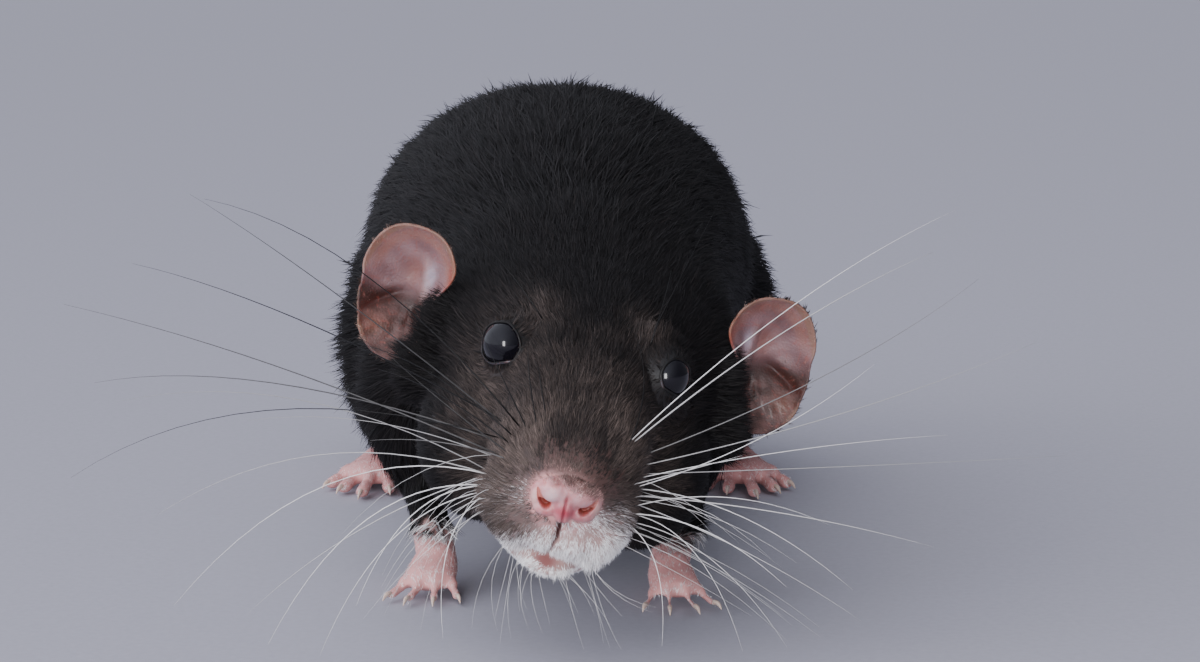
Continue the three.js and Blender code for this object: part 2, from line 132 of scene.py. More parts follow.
def laid_flat(direction, normal):
    """Directions turned into the plane of the surface."""
    return unit(direction - normal * (direction * normal).sum(1, keepdims=True))


def waves(points, size, seed):
    """A smooth, wandering value from about -1 to 1 that repeats roughly every size millimetres."""
    rng = np.random.default_rng(seed)
    total = np.zeros(len(points))
    for _ in range(5):
        direction = unit(rng.normal(size=3)) * rng.uniform(0.6, 1.5) * 2 * math.pi / size
        total += np.sin(points @ direction + rng.uniform(0, 2 * math.pi))
    return total / 2.6


def turn_matrix(pitch, yaw, tilt):
    """Turns by tilt about y, then pitch about x, then yaw about z, in degrees."""
    turn = Matrix.Rotation(math.radians(yaw), 3, "Z")
    turn = turn @ Matrix.Rotation(math.radians(pitch), 3, "X")
    return np.array(turn @ Matrix.Rotation(math.radians(tilt), 3, "Y"))


HEAD_TURN = turn_matrix(HEAD_PITCH, HEAD_YAW, HEAD_TILT)


def box_middle(node):
    low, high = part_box(node)
    return np.array((low + high) / 2) / MM


HEAD_ORIGIN = (box_middle("eye_left") + box_middle("eye_right")) / 2 - HEAD_TURN @ np.array(
    (0, EYE_CENTRE[1], EYE_CENTRE[2])
)
SOURCE_SHIFT = HEAD_ORIGIN - np.array(NOSE_TIP_IN_SOURCE)


def to_head(points):
    return (points - HEAD_ORIGIN) @ HEAD_TURN


def from_head(points):
    return np.asarray(points, float) @ HEAD_TURN.T + HEAD_ORIGIN


def on_body(points):
    """Points in the frame of the part's source, where the spine runs over x = 0."""
    return points - SOURCE_SHIFT


def mirrored(place, side):
    return np.array((place[0] * side, place[1], place[2]), float)


# Meshes


def smooth_rows(rows, share):
    """Rows of numbers as a smooth curve through them, at shares from 0 to 1."""
    rows = np.asarray(rows, float)
    rows = np.vstack([2 * rows[0] - rows[1], rows, 2 * rows[-1] - rows[-2]])
    place = np.clip(np.asarray(share, float), 0, 1) * (len(rows) - 3)
    index = np.minimum(place.astype(int), len(rows) - 4)
    f = (place - index)[:, None]
    a, b, c, d = (rows[index + k] for k in range(4))
    return 0.5 * (2 * b + (c - a) * f + (2 * a - 5 * b + 4 * c - d) * f**2 + (3 * b - a - 3 * c + d) * f**3)


class Form:
    """A rounded form along a smooth line. Each row is x, y, z, half width, rise and drop."""

    def __init__(self, rows, sideways=(1, 0, 0), square=2.0):
        self.rows = [tuple(row) + (row[4],) * (6 - len(row)) for row in rows]
        self.sideways = np.array(sideways, float)
        self.square = square

    def points(self, share, angle):
        share, angle = np.broadcast_arrays(np.asarray(share, float), np.asarray(angle, float))
        flat, turn = share.ravel(), angle.ravel()
        here = smooth_rows(self.rows, flat)
        step = 1e-3
        along = unit(
            smooth_rows(self.rows, flat + step)[:, :3] - smooth_rows(self.rows, flat - step)[:, :3]
        )
        side = unit(self.sideways - along * (along @ self.sideways)[:, None])
        up = np.cross(side, along)
        height = np.where(np.sin(turn) > 0, here[:, 4], here[:, 5])
        power = 2 / self.square
        across = np.sign(np.cos(turn)) * np.abs(np.cos(turn)) ** power
        over = np.sign(np.sin(turn)) * np.abs(np.sin(turn)) ** power
        made = (
            here[:, :3]
            + side * (np.maximum(here[:, 3], 0.03) * across)[:, None]
            + up * (np.maximum(height, 0.03) * over)[:, None]
        )
        return made.reshape(share.shape + (3,))

    def surface(self, steps, sides):
        """Vertices and faces of the closed form."""
        share = np.linspace(0, 1, steps + 1)[:, None]
        angle = np.arange(sides)[None, :] * 2 * math.pi / sides
        return closed_tube(self.points(share, angle))


def tube_faces(count, sides):
    """Faces between rings of points, with a fan over the first ring to the point that follows them all."""
    j = np.arange(sides)
    k = (j + 1) % sides
    faces = []
    for start in range(0, (count - 1) * sides, sides):
        faces += np.stack([start + j, start + k, start + sides + k, start + sides + j], 1).tolist()
    return faces + np.stack([k, j, np.full(sides, count * sides)], 1).tolist()


def closed_tube(rings):
    """Joins rings of points into a closed surface with a fan over each end."""
    count, sides = rings.shape[:2]
    verts = np.vstack([rings.reshape(-1, 3), rings[0].mean(0), rings[-1].mean(0)])
    end = (count - 1) * sides + np.arange(sides)
    last = np.stack([end, np.roll(end, -1), np.full(sides, count * sides + 1)], 1)
    return verts, tube_faces(count, sides) + last.tolist()


def ellipsoid(centre, half, segments=32):
    """Vertices and faces of a closed ellipsoid."""
    rings = segments // 2
    angle = np.linspace(0, math.pi, rings + 1)[1:-1, None]
    turn = np.arange(segments)[None, :] * 2 * math.pi / segments
    ring = np.stack(
        [np.sin(angle) * np.cos(turn), np.sin(angle) * np.sin(turn), np.cos(angle) * np.ones_like(turn)], -1
    )
    verts, faces = closed_tube(ring)
    verts[-2], verts[-1] = (0, 0, 1), (0, 0, -1)
    faces = [face[::-1] for face in faces]
    return verts * np.array(half) + np.array(centre), faces


def together(parts):
    """Several (vertices, faces) as one."""
    verts, faces, start = [], [], 0
    for part_verts, part_faces in parts:
        verts.append(part_verts)
        faces += [[index + start for index in face] for face in part_faces]
        start += len(part_verts)
    return np.vstack(verts), faces


def select_only(obj):
    bpy.ops.object.select_all(action="DESELECT")
    obj.select_set(True)
    bpy.context.view_layer.objects.active = obj


def new_object(name, verts, faces):
    """A mesh object from points in millimetres, at the origin."""
    mesh = bpy.data.meshes.new(name)
    mesh.from_pydata((np.asarray(verts) * MM).tolist(), [], faces)
    mesh.update()
    obj = bpy.data.objects.new(name, mesh)
    bpy.context.scene.collection.objects.link(obj)
    select_only(obj)
    return obj


def apply_modifier(obj, kind, **settings):
    select_only(obj)
    modifier = obj.modifiers.new(kind, kind)
    for name, value in settings.items():
        setattr(modifier, name, value)
    bpy.ops.object.modifier_apply(modifier=modifier.name)


def vertex_points(obj):
    """The mesh's points in millimetres."""
    values = np.empty(len(obj.data.vertices) * 3, np.float32)
    obj.data.vertices.foreach_get("co", values)
    return values.reshape(-1, 3).astype(float) / MM


def set_points(obj, points):
    obj.data.vertices.foreach_set("co", (points * MM).astype(np.float32).ravel())
    obj.data.update()


def vertex_normals(obj):
    values = np.empty(len(obj.data.vertices) * 3, np.float32)
    obj.data.vertex_normals.foreach_get("vector", values)
    return values.reshape(-1, 3).astype(float)


def face_outwards(obj):
    select_only(obj)
    bpy.ops.object.mode_set(mode="EDIT")
    bpy.ops.mesh.select_all(action="SELECT")
    bpy.ops.mesh.remove_doubles(threshold=1e-7)
    bpy.ops.mesh.normals_make_consistent(inside=False)
    bpy.ops.object.mode_set(mode="OBJECT")


def join_into(target, others):
    select_only(target)
    for other in others:
        other.select_set(True)
    bpy.ops.object.join()


def shade_smooth(obj):
    obj.data.polygons.foreach_set("use_smooth", np.ones(len(obj.data.polygons), bool))
    obj.data.update()


def paint(obj, colours):
    """Stores one linear colour for each vertex, for the materials to read."""
    layer = obj.data.color_attributes.new("marking", "FLOAT_COLOR", "POINT")
    values = np.ones((len(obj.data.vertices), 4), np.float32)
    values[:, :3] = colours
    layer.data.foreach_set("color", values.ravel())


def finish_piece(obj, material, replaces=()):
    obj.data.materials.clear()
    obj.data.materials.append(material)
    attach(obj, BODY)
    if replaces:
        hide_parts(*replaces)


# Colours and materials


def linear(hex_colour):
    """The linear red, green and blue of an sRGB hex colour."""
    values = [int(hex_colour[i : i + 2], 16) / 255 for i in (1, 3, 5)]
    return np.array([v / 12.92 if v <= 0.04045 else ((v + 0.055) / 1.055) ** 2.4 for v in values])


def tinted(colour, *layers):
    """A linear colour with others laid over it in turn, each a hex or linear colour and the share of it."""
    for tint, share in layers:
        colour = mix(colour, linear(tint) if isinstance(tint, str) else tint, share)
    return colour


def add_node(tree, kind, settings=None, inputs=None):
    """Adds a node with its settings, and sets or links its inputs."""
    node = tree.nodes.new(kind)
    for name, value in (settings or {}).items():
        setattr(node, name, value)
    for name, value in (inputs or {}).items():
        if isinstance(value, bpy.types.NodeSocket):
            tree.links.new(value, node.inputs[name])
        else:
            node.inputs[name].default_value = value
    return node


def new_material(name):
    material = bpy.data.materials.new(name)
    material.use_nodes = True
    material.node_tree.nodes.clear()
    return material, material.node_tree


def rgba(hex_colour):
    return (*linear(hex_colour), 1.0)


def close_material(tree, shader):
    add_node(tree, "ShaderNodeOutputMaterial", inputs={"Surface": shader.outputs[0]})


# Widths of the patterns' grains. Down, the fibres of the iris, the flecks of horn and the grain of paper are
# finer on the real thing, and are drawn as coarse as they need to show.
DOWN_WIDTH, DOWN_LENGTH, DOWN_HEIGHT = 0.2, 1.2, 0.12
FIBRE_WIDTH, FLECK_WIDTH, PAPER_GRAIN = 1 / 2.6, 1 / 3.5, 1 / 0.9
LID_GRAIN, NOSE_GRAIN, EAR_GRAIN = 0.15, 0.22, 0.35


def fur_material():
    """Guard hair: keratin in strands with a low sheen, each with its own tone, painted shade towards its root
    and a paler tip.
    """
    material, tree = new_material("short_guard_hair")
    colour = add_node(tree, "ShaderNodeVertexColor", {"layer_name": "marking"})
    shader = add_node(
        tree,
        "ShaderNodeBsdfPrincipled",
        inputs={
            "Base Color": colour.outputs["Color"],
            "Roughness": 0.62,
            "IOR": 1.55,
            "Specular IOR Level": 0.17,
            "Sheen Weight": 0.02,
            "Sheen Roughness": 0.4,
        },
    )
    close_material(tree, shader)
    return material


def skin_material():
    """Living skin with short down too fine to model, which shows as a bump along the body."""
    material, tree = new_material("skin_with_fine_down")
    place = add_node(tree, "ShaderNodeTexCoord")
    colour = add_node(tree, "ShaderNodeVertexColor", {"layer_name": "marking"})
    stretched = add_node(
        tree,
        "ShaderNodeMapping",
        inputs={
            "Vector": place.outputs["Object"],
            "Scale": [1 / (size * MM) for size in (DOWN_WIDTH, DOWN_LENGTH, DOWN_WIDTH)],
        },
    )
    down = add_node(
        tree, "ShaderNodeTexNoise", inputs={"Vector": stretched.outputs[0], "Scale": 1.0, "Detail": 2.0}
    )
    bump = add_node(
        tree,
        "ShaderNodeBump",
        inputs={"Height": down.outputs["Fac"], "Strength": 0.35, "Distance": DOWN_HEIGHT * MM},
    )
    shader = add_node(
        tree,
        "ShaderNodeBsdfPrincipled",
        inputs={
            "Base Color": colour.outputs["Color"],
            "Normal": bump.outputs["Normal"],
            "Roughness": 0.55,
            "Subsurface Weight": 0.12,
            "Subsurface Radius": (0.0010, 0.0004, 0.0003),
            "Subsurface Scale": 1.0,
        },
    )
    close_material(tree, shader)
    return material


# The skin


SKULL = Form([(0, back, 0, width, rise, drop) for back, width, rise, drop in SKULL_ROWS], square=2.15)
JAW = Form(
    [
        (0, 4.4, -13.1, 2.2, 0.8, 1.0),
        (0, 6.2, -13.4, 4.0, 1.4, 1.8),
        (0, 9.5, -13.5, 5.9, 2.8, 3.1),
        (0, 14, -14.0, 7.8, 3.4, 3.7),
        (0, 20, -14.3, 9.4, 3.9, 3.9),
        (0, 27, -13.6, 10.4, 4.2, 3.6),
        (0, 35, -12.4, 10.8, 4.0, 3.4),
    ],
    square=2.1,
)
WHISKER_PAD = ((5.8, 11.2, -6.2), (5.3, 7.6, 6.8))
CHEEK = ((11, 36, -9), (11, 15.5, 12))
EAR_BASE = ((20.0, 46.4, 1.9), (4.6, 4.6, 7.6))
EAR_LOWER = ((22.3, 45.4, -4.4), (4.9, 4.8, 6.0))
# The root of the ear: distance out from the middle, distance back, height, half width and half height
EAR_STALK = [
    (14, 49, 0.5, 5.0, 6.4),
    (19, 51.5, 2.5, 4.8, 6.2),
    (23, 54.0, 4.0, 3.4, 4.6),
    (26, 55.2, 5.0, 1.6, 2.4),
]

FLESH_NODES = (
    "neck chest belly rump tail_1 tail_2 tail_3 tail_4 "
    "upper_arm_left upper_arm_right forearm_left forearm_right "
    "thigh_left thigh_right shank_left shank_right"
).split()
SKIN_REPLACES = FLESH_NODES + [
    "head",
    "snout",
    "lower_jaw",
    "forefoot_left",
    "forefoot_right",
    "hind_foot_left",
    "hind_foot_right",
]

# For each kind of foot: how far out and back its heel stands, how far back each one is set from there, the
# degrees by which it points outwards, and rows of its sole from the heel to the toes, each with its
# distance ahead, height, half width, rise and drop
FEET = {
    "fore": {
        "heel": (18.4, -49.0),
        "set_back": {"left": -3, "right": 3},
        "turned_out": 8.0,
        "sole": [
            (-4.2, 5.6, 2.4, 2.2, 2.4),
            (-1, 4.2, 3.3, 2.4, 4.1),
            (2.5, 3.2, 4.0, 2.2, 3.2),
            (6, 2.6, 4.1, 1.8, 2.6),
            (8, 2.3, 2.8, 1.2, 1.9),
        ],
    },
    "hind": {
        "heel": (31.2, 64.0),
        "set_back": {"left": 0, "right": 0},
        "turned_out": 7.0,
        "sole": [
            (-5, 5.2, 2.4, 2.6, 3.6),
            (-1, 4.0, 3.6, 3.2, 4.0),
            (8, 3.2, 3.8, 2.4, 3.2),
            (17, 2.9, 4.6, 2.2, 2.9),
            (24, 2.6, 5.2, 1.9, 2.6),
            (27.5, 2.3, 4.0, 1.2, 1.9),
        ],
    },
}


def foot_frame(foot, name):
    """The heel's place on the ground, the direction the foot points in and the one to its right."""
    side = SIDES[name]
    heel = np.array((side * foot["heel"][0], foot["heel"][1] + foot["set_back"][name], 0.0))
    heel[:2] += SOURCE_SHIFT[:2]
    angle = math.radians(side * foot["turned_out"])
    ahead = np.array((math.sin(angle), -math.cos(angle), 0))
    right = np.array((math.cos(angle), math.sin(angle), 0))
    return heel, ahead, right


def toe_places(kind):
    """For each toe: its place across and ahead of the heel, its height, splay, length and radius."""
    if kind == "fore":
        spots = [-3.2, -1.1, 1.1, 3.2]
        return [(s, 6.4 - abs(s) * 0.45, 2.3, s * -7, 7.6 - abs(s) * 0.5, 1.1) for s in spots]
    spots = [-4.4, -2.3, 0, 2.3, 4.4]
    return [(s, 25.5 - abs(s) * 0.95, 2.5, s * -6, 10.5 - abs(s) * 0.75, 1.28) for s in spots]


def toe_line(foot, name, place):
    """A toe's root, its heading and the direction across it."""
    heel, ahead, right = foot_frame(foot, name)
    across, forward, up, splay = place[:4]
    cosine, sine = math.cos(math.radians(-splay)), math.sin(math.radians(-splay))
    heading = np.array((ahead[0] * cosine - ahead[1] * sine, ahead[0] * sine + ahead[1] * cosine, 0))
    root = heel + right * across + ahead * forward + np.array((0, 0, up))
    return root, heading, np.array((-heading[1], heading[0], 0))


def form_along_toe(foot, name, place, rows):
    """A form from rows of the share of the toe's length, the height, and width and thickness in toe radii."""
    root, heading, across = toe_line(foot, name, place)
    length, radius = place[4:]
    line = []
    for share, height, width, thick in rows:
        spot = root + heading * length * share
        line.append((spot[0], spot[1], height, radius * width, radius * thick, radius * thick))
    return Form(line, sideways=across)


def toe_form(foot, name, place):
    """A toe with a knuckle, a waist and a round pad under its end."""
    up, radius = place[2], place[5]
    low = radius * 0.8
    rows = [
        (-0.32, up, 0.9, 0.9),
        (0.0, up + radius * 0.15, 1.0, 1.0),
        (0.28, up * 0.9 + radius * 0.25, 0.98, 1.02),
        (0.48, low + radius * 0.5, 0.8, 0.82),
        (0.64, low + radius * 0.42, 0.86, 0.94),
        (0.84, low + radius * 0.12, 0.98, 0.94),
        (0.97, low + radius * 0.1, 0.78, 0.76),
        (1.03, low + radius * 0.1, 0.42, 0.4),
    ]
    return form_along_toe(foot, name, place, rows)


def claw_form(foot, name, place):
    """A short curved claw growing from above the toe's pad."""
    radius = place[5]
    rows = [
        (0.9, radius * 1.1, 0.34, 0.36),
        (1.06, radius * 1.16, 0.32, 0.36),
        (1.17, radius * 0.9, 0.22, 0.26),
        (1.27, radius * 0.45, 0.06, 0.08),
    ]
    return form_along_toe(foot, name, place, rows)


def foot_parts(kind, name):
    foot = FEET[kind]
    heel, ahead, right = foot_frame(foot, name)
    rows = []
    for forward, up, width, rise, drop in foot["sole"]:
        spot = heel + ahead * forward
        rows.append((spot[0], spot[1], up, width, rise, drop))
    parts = [Form(rows, sideways=right).surface(30, 28)]
    for place in toe_places(kind):
        parts.append(toe_form(foot, name, place).surface(16, 14))
    return parts


def copy_of(node):
    """A joined-up copy of a CAD node's mesh."""
    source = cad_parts[node]
    obj = bpy.data.objects.new(node + "_copy", source.data.copy())
    bpy.context.scene.collection.objects.link(obj)
    face_outwards(obj)
    return obj


def eye_frame(side):
    """The eye's centre, the way it faces, the line from its front corner to its back one, and across that."""
    centre = mirrored(EYE_CENTRE, side)
    facing = unit(mirrored(EYE_FACING, side))
    along = np.array((side * 0.25, 1.0, -0.12))
    along = unit(along - facing * (along @ facing))
    over = np.cross(facing, along) * side
    return centre, facing, along, over


# The rim of the eye's opening: the angle about the eye's facing, from the back corner over the top to the
# front one, and the distance out
LID_LINE = [
    (-180, 3.6),
    (-162, 3.6),
    (-137, 3.36),
    (-100, 3.42),
    (-62, 3.42),
    (-38, 3.5),
    (-12, 3.2),
    (10, 2.92),
    (35, 2.62),
    (60, 2.56),
    (77, 2.76),
    (90, 2.95),
    (109, 3.05),
    (128, 3.25),
    (145, 3.43),
    (162, 3.57),
    (180, 3.6),
]
LIDS_OPEN = {1: 0.86, -1: 1.0}  # the left eye is a little narrowed
LID_OUTSIDE = 3.72  # radius of the lids' outer face about the eye's centre


def opening_at(u, v, side):
    """1 on the rim of the eye's opening, and less inside it."""
    line = smooth_rows(LID_LINE, np.linspace(0, 1, 160))
    reach = np.interp(np.degrees(np.arctan2(v, u)), line[:, 0], line[:, 1])
    return np.hypot(u, v) / (reach * LIDS_OPEN[side])


def about_eye(head, side):
    """Points as seen from the eye: their offsets, how far forward they lie, and how far along and over."""
    centre, facing, along, over = eye_frame(side)
    offset = head - centre
    return offset, offset @ facing, offset @ along, offset @ over


def rise_of_coat(head_points, points):
    """How deep the skin lies under the coat's surface, in millimetres."""
    back = head_points[:, 1]
    depth = 0.25 + 0.35 * ramp(3, 14, back) + 0.7 * ramp(18, 44, back) + 1.3 * ramp(46, 75, back)
    leg = 1 - ramp(4, 26, points[:, 2])
    depth = mix_number(depth, 0.7, leg * ramp(30, 60, back))
    foot = 1 - ramp(7, 11, points[:, 2])
    depth = depth * (1 - foot * ramp(30, 60, back))
    tail = ramp(80, 108, on_body(points)[:, 1])
    return depth * (1 - tail)


MOUTH = (-0.8, 3.9, -11.6)
MOUTH_SKIN = (-0.9, 4.0, -12.2)  # the bare pink under the parting of the lips


def philtrum(head):
    """The groove that runs down from the nose to the middle of the mouth."""
    middle = 0.22 * np.minimum(head[:, 2] + 7, 0) - 0.1
    reach = ramp(-2.4, -3.6, head[:, 2]) * ramp(-11.4, -10.4, head[:, 2])
    reach = reach * (1 - 0.5 * ramp(-6.5, -8.5, head[:, 2]))
    return np.exp(-(((head[:, 0] - middle) / 0.3) ** 2)) * reach


# Pushes that shape the face: the axis, how far, and the centre and radii of each
BROWS = [
    (0, -1.1, (10.5, 22.5, 4.5), (3.5, 5.5, 4.5)),
    (2, 0.5, (9.5, 31.5, 14), (4, 5, 3)),
    (0, -0.5, (16, 37, 8), (4, 5, 4)),
    (0, 0.5, (19, 42, -6), (6, 8, 7)),
]
LIPS = [
    (1, 1.4, MOUTH, (2.1, 4, 0.8)),
    (1, -1.3, (5.2, 4, -11.2), (2.8, 4, 1.6)),
    (1, -1.0, (-5.0, 4, -11.7), (1.7, 4, 1.1)),
    (2, -0.7, (5.6, 5, -10.6), (3.0, 4, 2.0)),
    (1, 2.0, (5.4, 5, -14.4), (2.6, 4, 1.4)),
    (1, -1.1, (3.6, 4, -8.4), (2.7, 4, 2.4)),
    (1, -0.7, (-3.6, 4, -7.8), (2.5, 4, 2.3)),
    (1, -0.7, (-0.4, 5, -13.4), (2.8, 4, 1.0)),
    (0, -1.3, (-10, 9.5, -5.5), (4, 5, 4.5)),
]


def shape_face(head):
    """Moves points of the face, in the head's frame, into brows, cheeks, lips and the line of the mouth."""
    head = head.copy()

    def push(axis, distance, centre, radii):
        head[:, axis] += distance * bump_at(head, centre, radii)

    for side in (1, -1):
        for axis, distance, centre, radii in BROWS:
            push(axis, distance * (side if axis == 0 else 1), mirrored(centre, side), radii)
    push(2, -0.35, (0, 26, 13), (5, 9, 4))
    head[:, 1] += 1.2 * philtrum(head) * ramp(9, 4, head[:, 1])
    for row in LIPS:
        push(*row)
    behind_pad = ((head[:, 0] / 3.6) ** 2 + ((head[:, 2] + 0.3) / 2.5) ** 2) ** 2
    head[:, 1] += 2.2 * np.exp(-behind_pad) * ramp(6, 4, head[:, 1])
    # the whisker follicles, a fine row of bumps along each line of whiskers
    follicle = np.sin(head[:, 1] * 2.4) * np.sin(head[:, 2] * 2.6 + head[:, 1] * 0.6)
    pad = bump_at(np.abs(head), (9, 11, 5), (3.5, 5, 4.5)) * (head[:, 2] < 0)
    head[:, 0] += np.sign(head[:, 0]) * 0.12 * follicle * pad
    return head


def close_lids(head, side):
    """Draws the skin up over the eyeball round its opening, and sinks it behind the ball inside that."""
    _, high, u, v = about_eye(head, side)
    away = np.hypot(u, v)
    opening = opening_at(u, v, side)
    turn_in = 3.35 * LIDS_OPEN[side]
    edge = math.sqrt(LID_OUTSIDE**2 - turn_in**2)
    ball = np.sqrt(np.maximum(LID_OUTSIDE**2 - away**2, 0))
    beyond = np.maximum(away - turn_in, 0)
    lid = np.where(away < turn_in, ball, edge - turn_in / edge * beyond + 0.12 * beyond**2)
    fold = np.exp(-(((opening - 1.3) / 0.07) ** 2)) * (0.6 + 0.4 * np.sin(3 * np.arctan2(v, u) + 1))
    lid = lid - 0.1 * fold
    soft = 0.2  # the radius over which the lids run into the skin round them
    high_round = high + (0.25 + 0.08 * u) * np.exp(-((away / 5.0) ** 2))
    level = soft * np.logaddexp(lid / soft, high_round / soft)
    level = mix_number(0.2, level, ramp(0.93, 1.02, opening))
    near = (away < 7.5) & (high > -3.5) & (high < 5)
    blend = ramp(7.5, 6.2, away) * near
    return head + eye_frame(side)[1] * ((level - high) * blend)[:, None]


SKIN_VOXEL = 0.5
SKIN_FACES = 150_000


def refine(obj, wanted, smooth):
    """Divides the faces whose middles are wanted, and smooths the new points."""
    select_only(obj)
    middles = np.empty(len(obj.data.polygons) * 3, np.float32)
    obj.data.polygons.foreach_get("center", middles)
    chosen = wanted(to_head(middles.reshape(-1, 3).astype(float) / MM))
    obj.data.vertices.foreach_set("select", np.zeros(len(obj.data.vertices), bool))
    obj.data.edges.foreach_set("select", np.zeros(len(obj.data.edges), bool))
    obj.data.polygons.foreach_set("select", chosen)
    bpy.ops.object.mode_set(mode="EDIT")
    bpy.ops.mesh.select_mode(type="FACE")
    bpy.ops.mesh.subdivide(number_cuts=1, smoothness=smooth)
    bpy.ops.object.mode_set(mode="OBJECT")


def near_eyes(head):
    near = np.zeros(len(head), bool)
    for side in (1, -1):
        offset, high, _, _ = about_eye(head, side)
        near |= (np.linalg.norm(offset, axis=1) < 6.0) & (high > -1.0)
    return near


def near_mouth(head):
    return (head[:, 1] < 8) & (np.abs(head[:, 0]) < 6) & (head[:, 2] < -2.5)


def build_skin():
    """One closed skin over the head, body, legs, feet and tail."""
    parts = [SKULL.surface(60, 72), JAW.surface(30, 40)]
    for side in (1, -1):
        for centre, half in (WHISKER_PAD, CHEEK, EAR_BASE, EAR_LOWER):
            parts.append(ellipsoid(mirrored(centre, side), half, 48))
        stalk = [(side * x, back, up, width, rise) for x, back, up, width, rise in EAR_STALK]
        parts.append(Form(stalk, sideways=(0, 1, 0)).surface(14, 24))
    skin = new_object("skin", *together([(from_head(verts), faces) for verts, faces in parts]))
    feet_parts = []
    for name in SIDES:
        for kind in FEET:
            feet_parts += foot_parts(kind, name)
    feet = new_object("feet", *together(feet_parts))
    for obj in (skin, feet):
        face_outwards(obj)
    join_into(skin, [feet] + [copy_of(node) for node in FLESH_NODES])
    apply_modifier(skin, "REMESH", mode="VOXEL", voxel_size=SKIN_VOXEL * MM)
    relax_body(skin, vertex_points(skin))
    points = vertex_points(skin)
    points -= vertex_normals(skin) * rise_of_coat(to_head(points), points)[:, None]
    points = from_head(shape_face(to_head(points)))
    set_points(skin, points)
    thin_out(skin)
    for _ in range(2):
        refine(skin, near_eyes, 0.0)
    refine(skin, near_mouth, 0.0)
    local = to_head(vertex_points(skin))
    for side in (1, -1):
        local = close_lids(local, side)
    points = from_head(local)
    points[:, 2] = np.maximum(points[:, 2], 0.0)
    set_points(skin, points)
    shade_smooth(skin)
    return skin


def on_a_foot(place, height):
    """Whether points, in the frame of the part's source, lie in a foot below a height."""
    return (place[:, 2] < height) & (np.abs(place[:, 0]) > 11) & (place[:, 1] < 76)


def weigh_points(skin, name, share):
    """A vertex group that holds each point at its share, to the nearest tenth, or leaves it out near none."""
    group = skin.vertex_groups.new(name=name)
    for level in np.linspace(0.1, 1.0, 10):
        chosen = np.nonzero(np.abs(share - level) <= 0.05)[0].tolist()
        group.add(chosen, float(level), "REPLACE")


def relax_body(skin, points):
    """Smooths the facets and the joints away: a little on the face and feet, and much on the body."""
    head, place = to_head(points), on_body(points)
    weigh_points(skin, "everywhere", np.where(on_a_foot(place, 7), 0.2, 1.0))
    soft = bumps(head, (1, (17, 27, -5), (8, 8, 9)), (1, (-17, 27, -5), (8, 8, 9)))
    weigh_points(skin, "cheeks", np.minimum(soft * ramp(17, 22, head[:, 1]), 1))
    trunk = ramp(40, 70, head[:, 1]) * ramp(6, 13, place[:, 2]) * ramp(134, 114, place[:, 1])
    weigh_points(skin, "trunk", trunk)
    for group, factor, rounds in (("everywhere", 0.5, 24), ("cheeks", 0.9, 70), ("trunk", 0.9, 160)):
        apply_modifier(skin, "SMOOTH", factor=factor, iterations=rounds, vertex_group=group)


def thin_out(skin):
    """Merges faces of the plain body, so that the face and the feet keep the fine ones."""
    points = vertex_points(skin)
    plain = (to_head(points)[:, 1] > 54) & ~on_a_foot(on_body(points), 8)
    weigh_points(skin, "plain", plain.astype(float))
    apply_modifier(
        skin,
        "DECIMATE",
        ratio=min(1.0, SKIN_FACES / (2 * len(skin.data.polygons))),
        vertex_group="plain",
        vertex_group_factor=1.0,
    )


# The markings, shared by skin and coat

UNDER_BROWN, UNDER_WHITE = "#4a3a36", "#b4948e"  # the skin under the brown and the white hair
MOUTH_PINK, LID_BLACK, TAIL_GREY, TAIL_PINK = "#8f5c59", "#0f0c0c", "#4b403e", "#9a7a72"
# Bumps of the coat's markings: the height, centre and radii of each
DARK_MASK = [
    (1.1, (3.0, 6.4, 4.6), (2.2, 4.3, 3.2)),
    (0.9, (-2.1, 6.9, 5.0), (2.2, 3.9, 2.7)),
    (0.8, (4.9, 4.4, 1.8), (1.7, 2.8, 1.9)),
    (0.4, (-3.9, 4.4, 2.6), (1.3, 2.4, 1.5)),
    (0.45, (0.3, 12, 8.0), (4.4, 5.5, 2.8)),
]
# Greyer fur above and round the eyes; the stronger bumps on the rat's right, the lit side, are partly painted
# sheen
PALE_ROUND_EYES = [
    (0.38, (8.0, 32, 15), (3.4, 4.5, 3.0)),
    (0.38, (-8.0, 32, 15), (3.4, 4.5, 3.0)),
    (0.14, (-EYE_CENTRE[0], EYE_CENTRE[1], EYE_CENTRE[2]), (6, 9, 7)),
    (0.24, (-15, 27, 2.5), (6, 9, 5)),
    (0.072, (15, 27, 2.5), (6, 9, 5)),
]
PALE_MUZZLE = [(0.14, (-5.5, 10, 3.5), (3.5, 5, 3.5)), (0.1, (4.5, 13, 8), (4, 6, 4))]
BESIDE_NOSE = [(0.2, (-6.0, 4.2, -1.6), (1.8, 3, 2.6)), (0.2, (6.4, 4.2, -2.6), (1.8, 3, 1.8))]


def brown_share(head):
    """How grey-brown the coat is: most on the muzzle, fading into the cheeks, darker above the nose."""
    wander = waves(head, 7, 3)
    from_nose = distance_from(head, (0, 4, -1), (1.0, 1.2, 1.05))
    share = 0.72 * ramp(28, 5, from_nose + 2.5 * wander) ** 0.8
    share = share * (1 - 0.5 * ramp(8, 19, head[:, 1]) * ramp(-2, 6, head[:, 2]))
    share = share + bumps(head, *PALE_MUZZLE)
    share = share * (1 - 0.35 * bump_at(head, (8.5, 8, 1), (3, 6, 5)))
    ragged = head + 0.75 * np.stack([waves(head, 2.2, 41), waves(head, 2.6, 42), waves(head, 2.4, 43)], 1)
    mask = bumps(ragged, *DARK_MASK)
    pale_strip = bump_at(ragged, (0.3, 5.6, 3.8), (0.9, 3.2, 2.0))
    mask = np.tanh(1.6 * mask) * (1 - 0.3 * pale_strip)
    share = share * (1 - 0.88 * mask) + bumps(head, *PALE_ROUND_EYES)
    return np.clip(share * (1 + 0.22 * waves(head, 3.0, 44)), 0, 1)


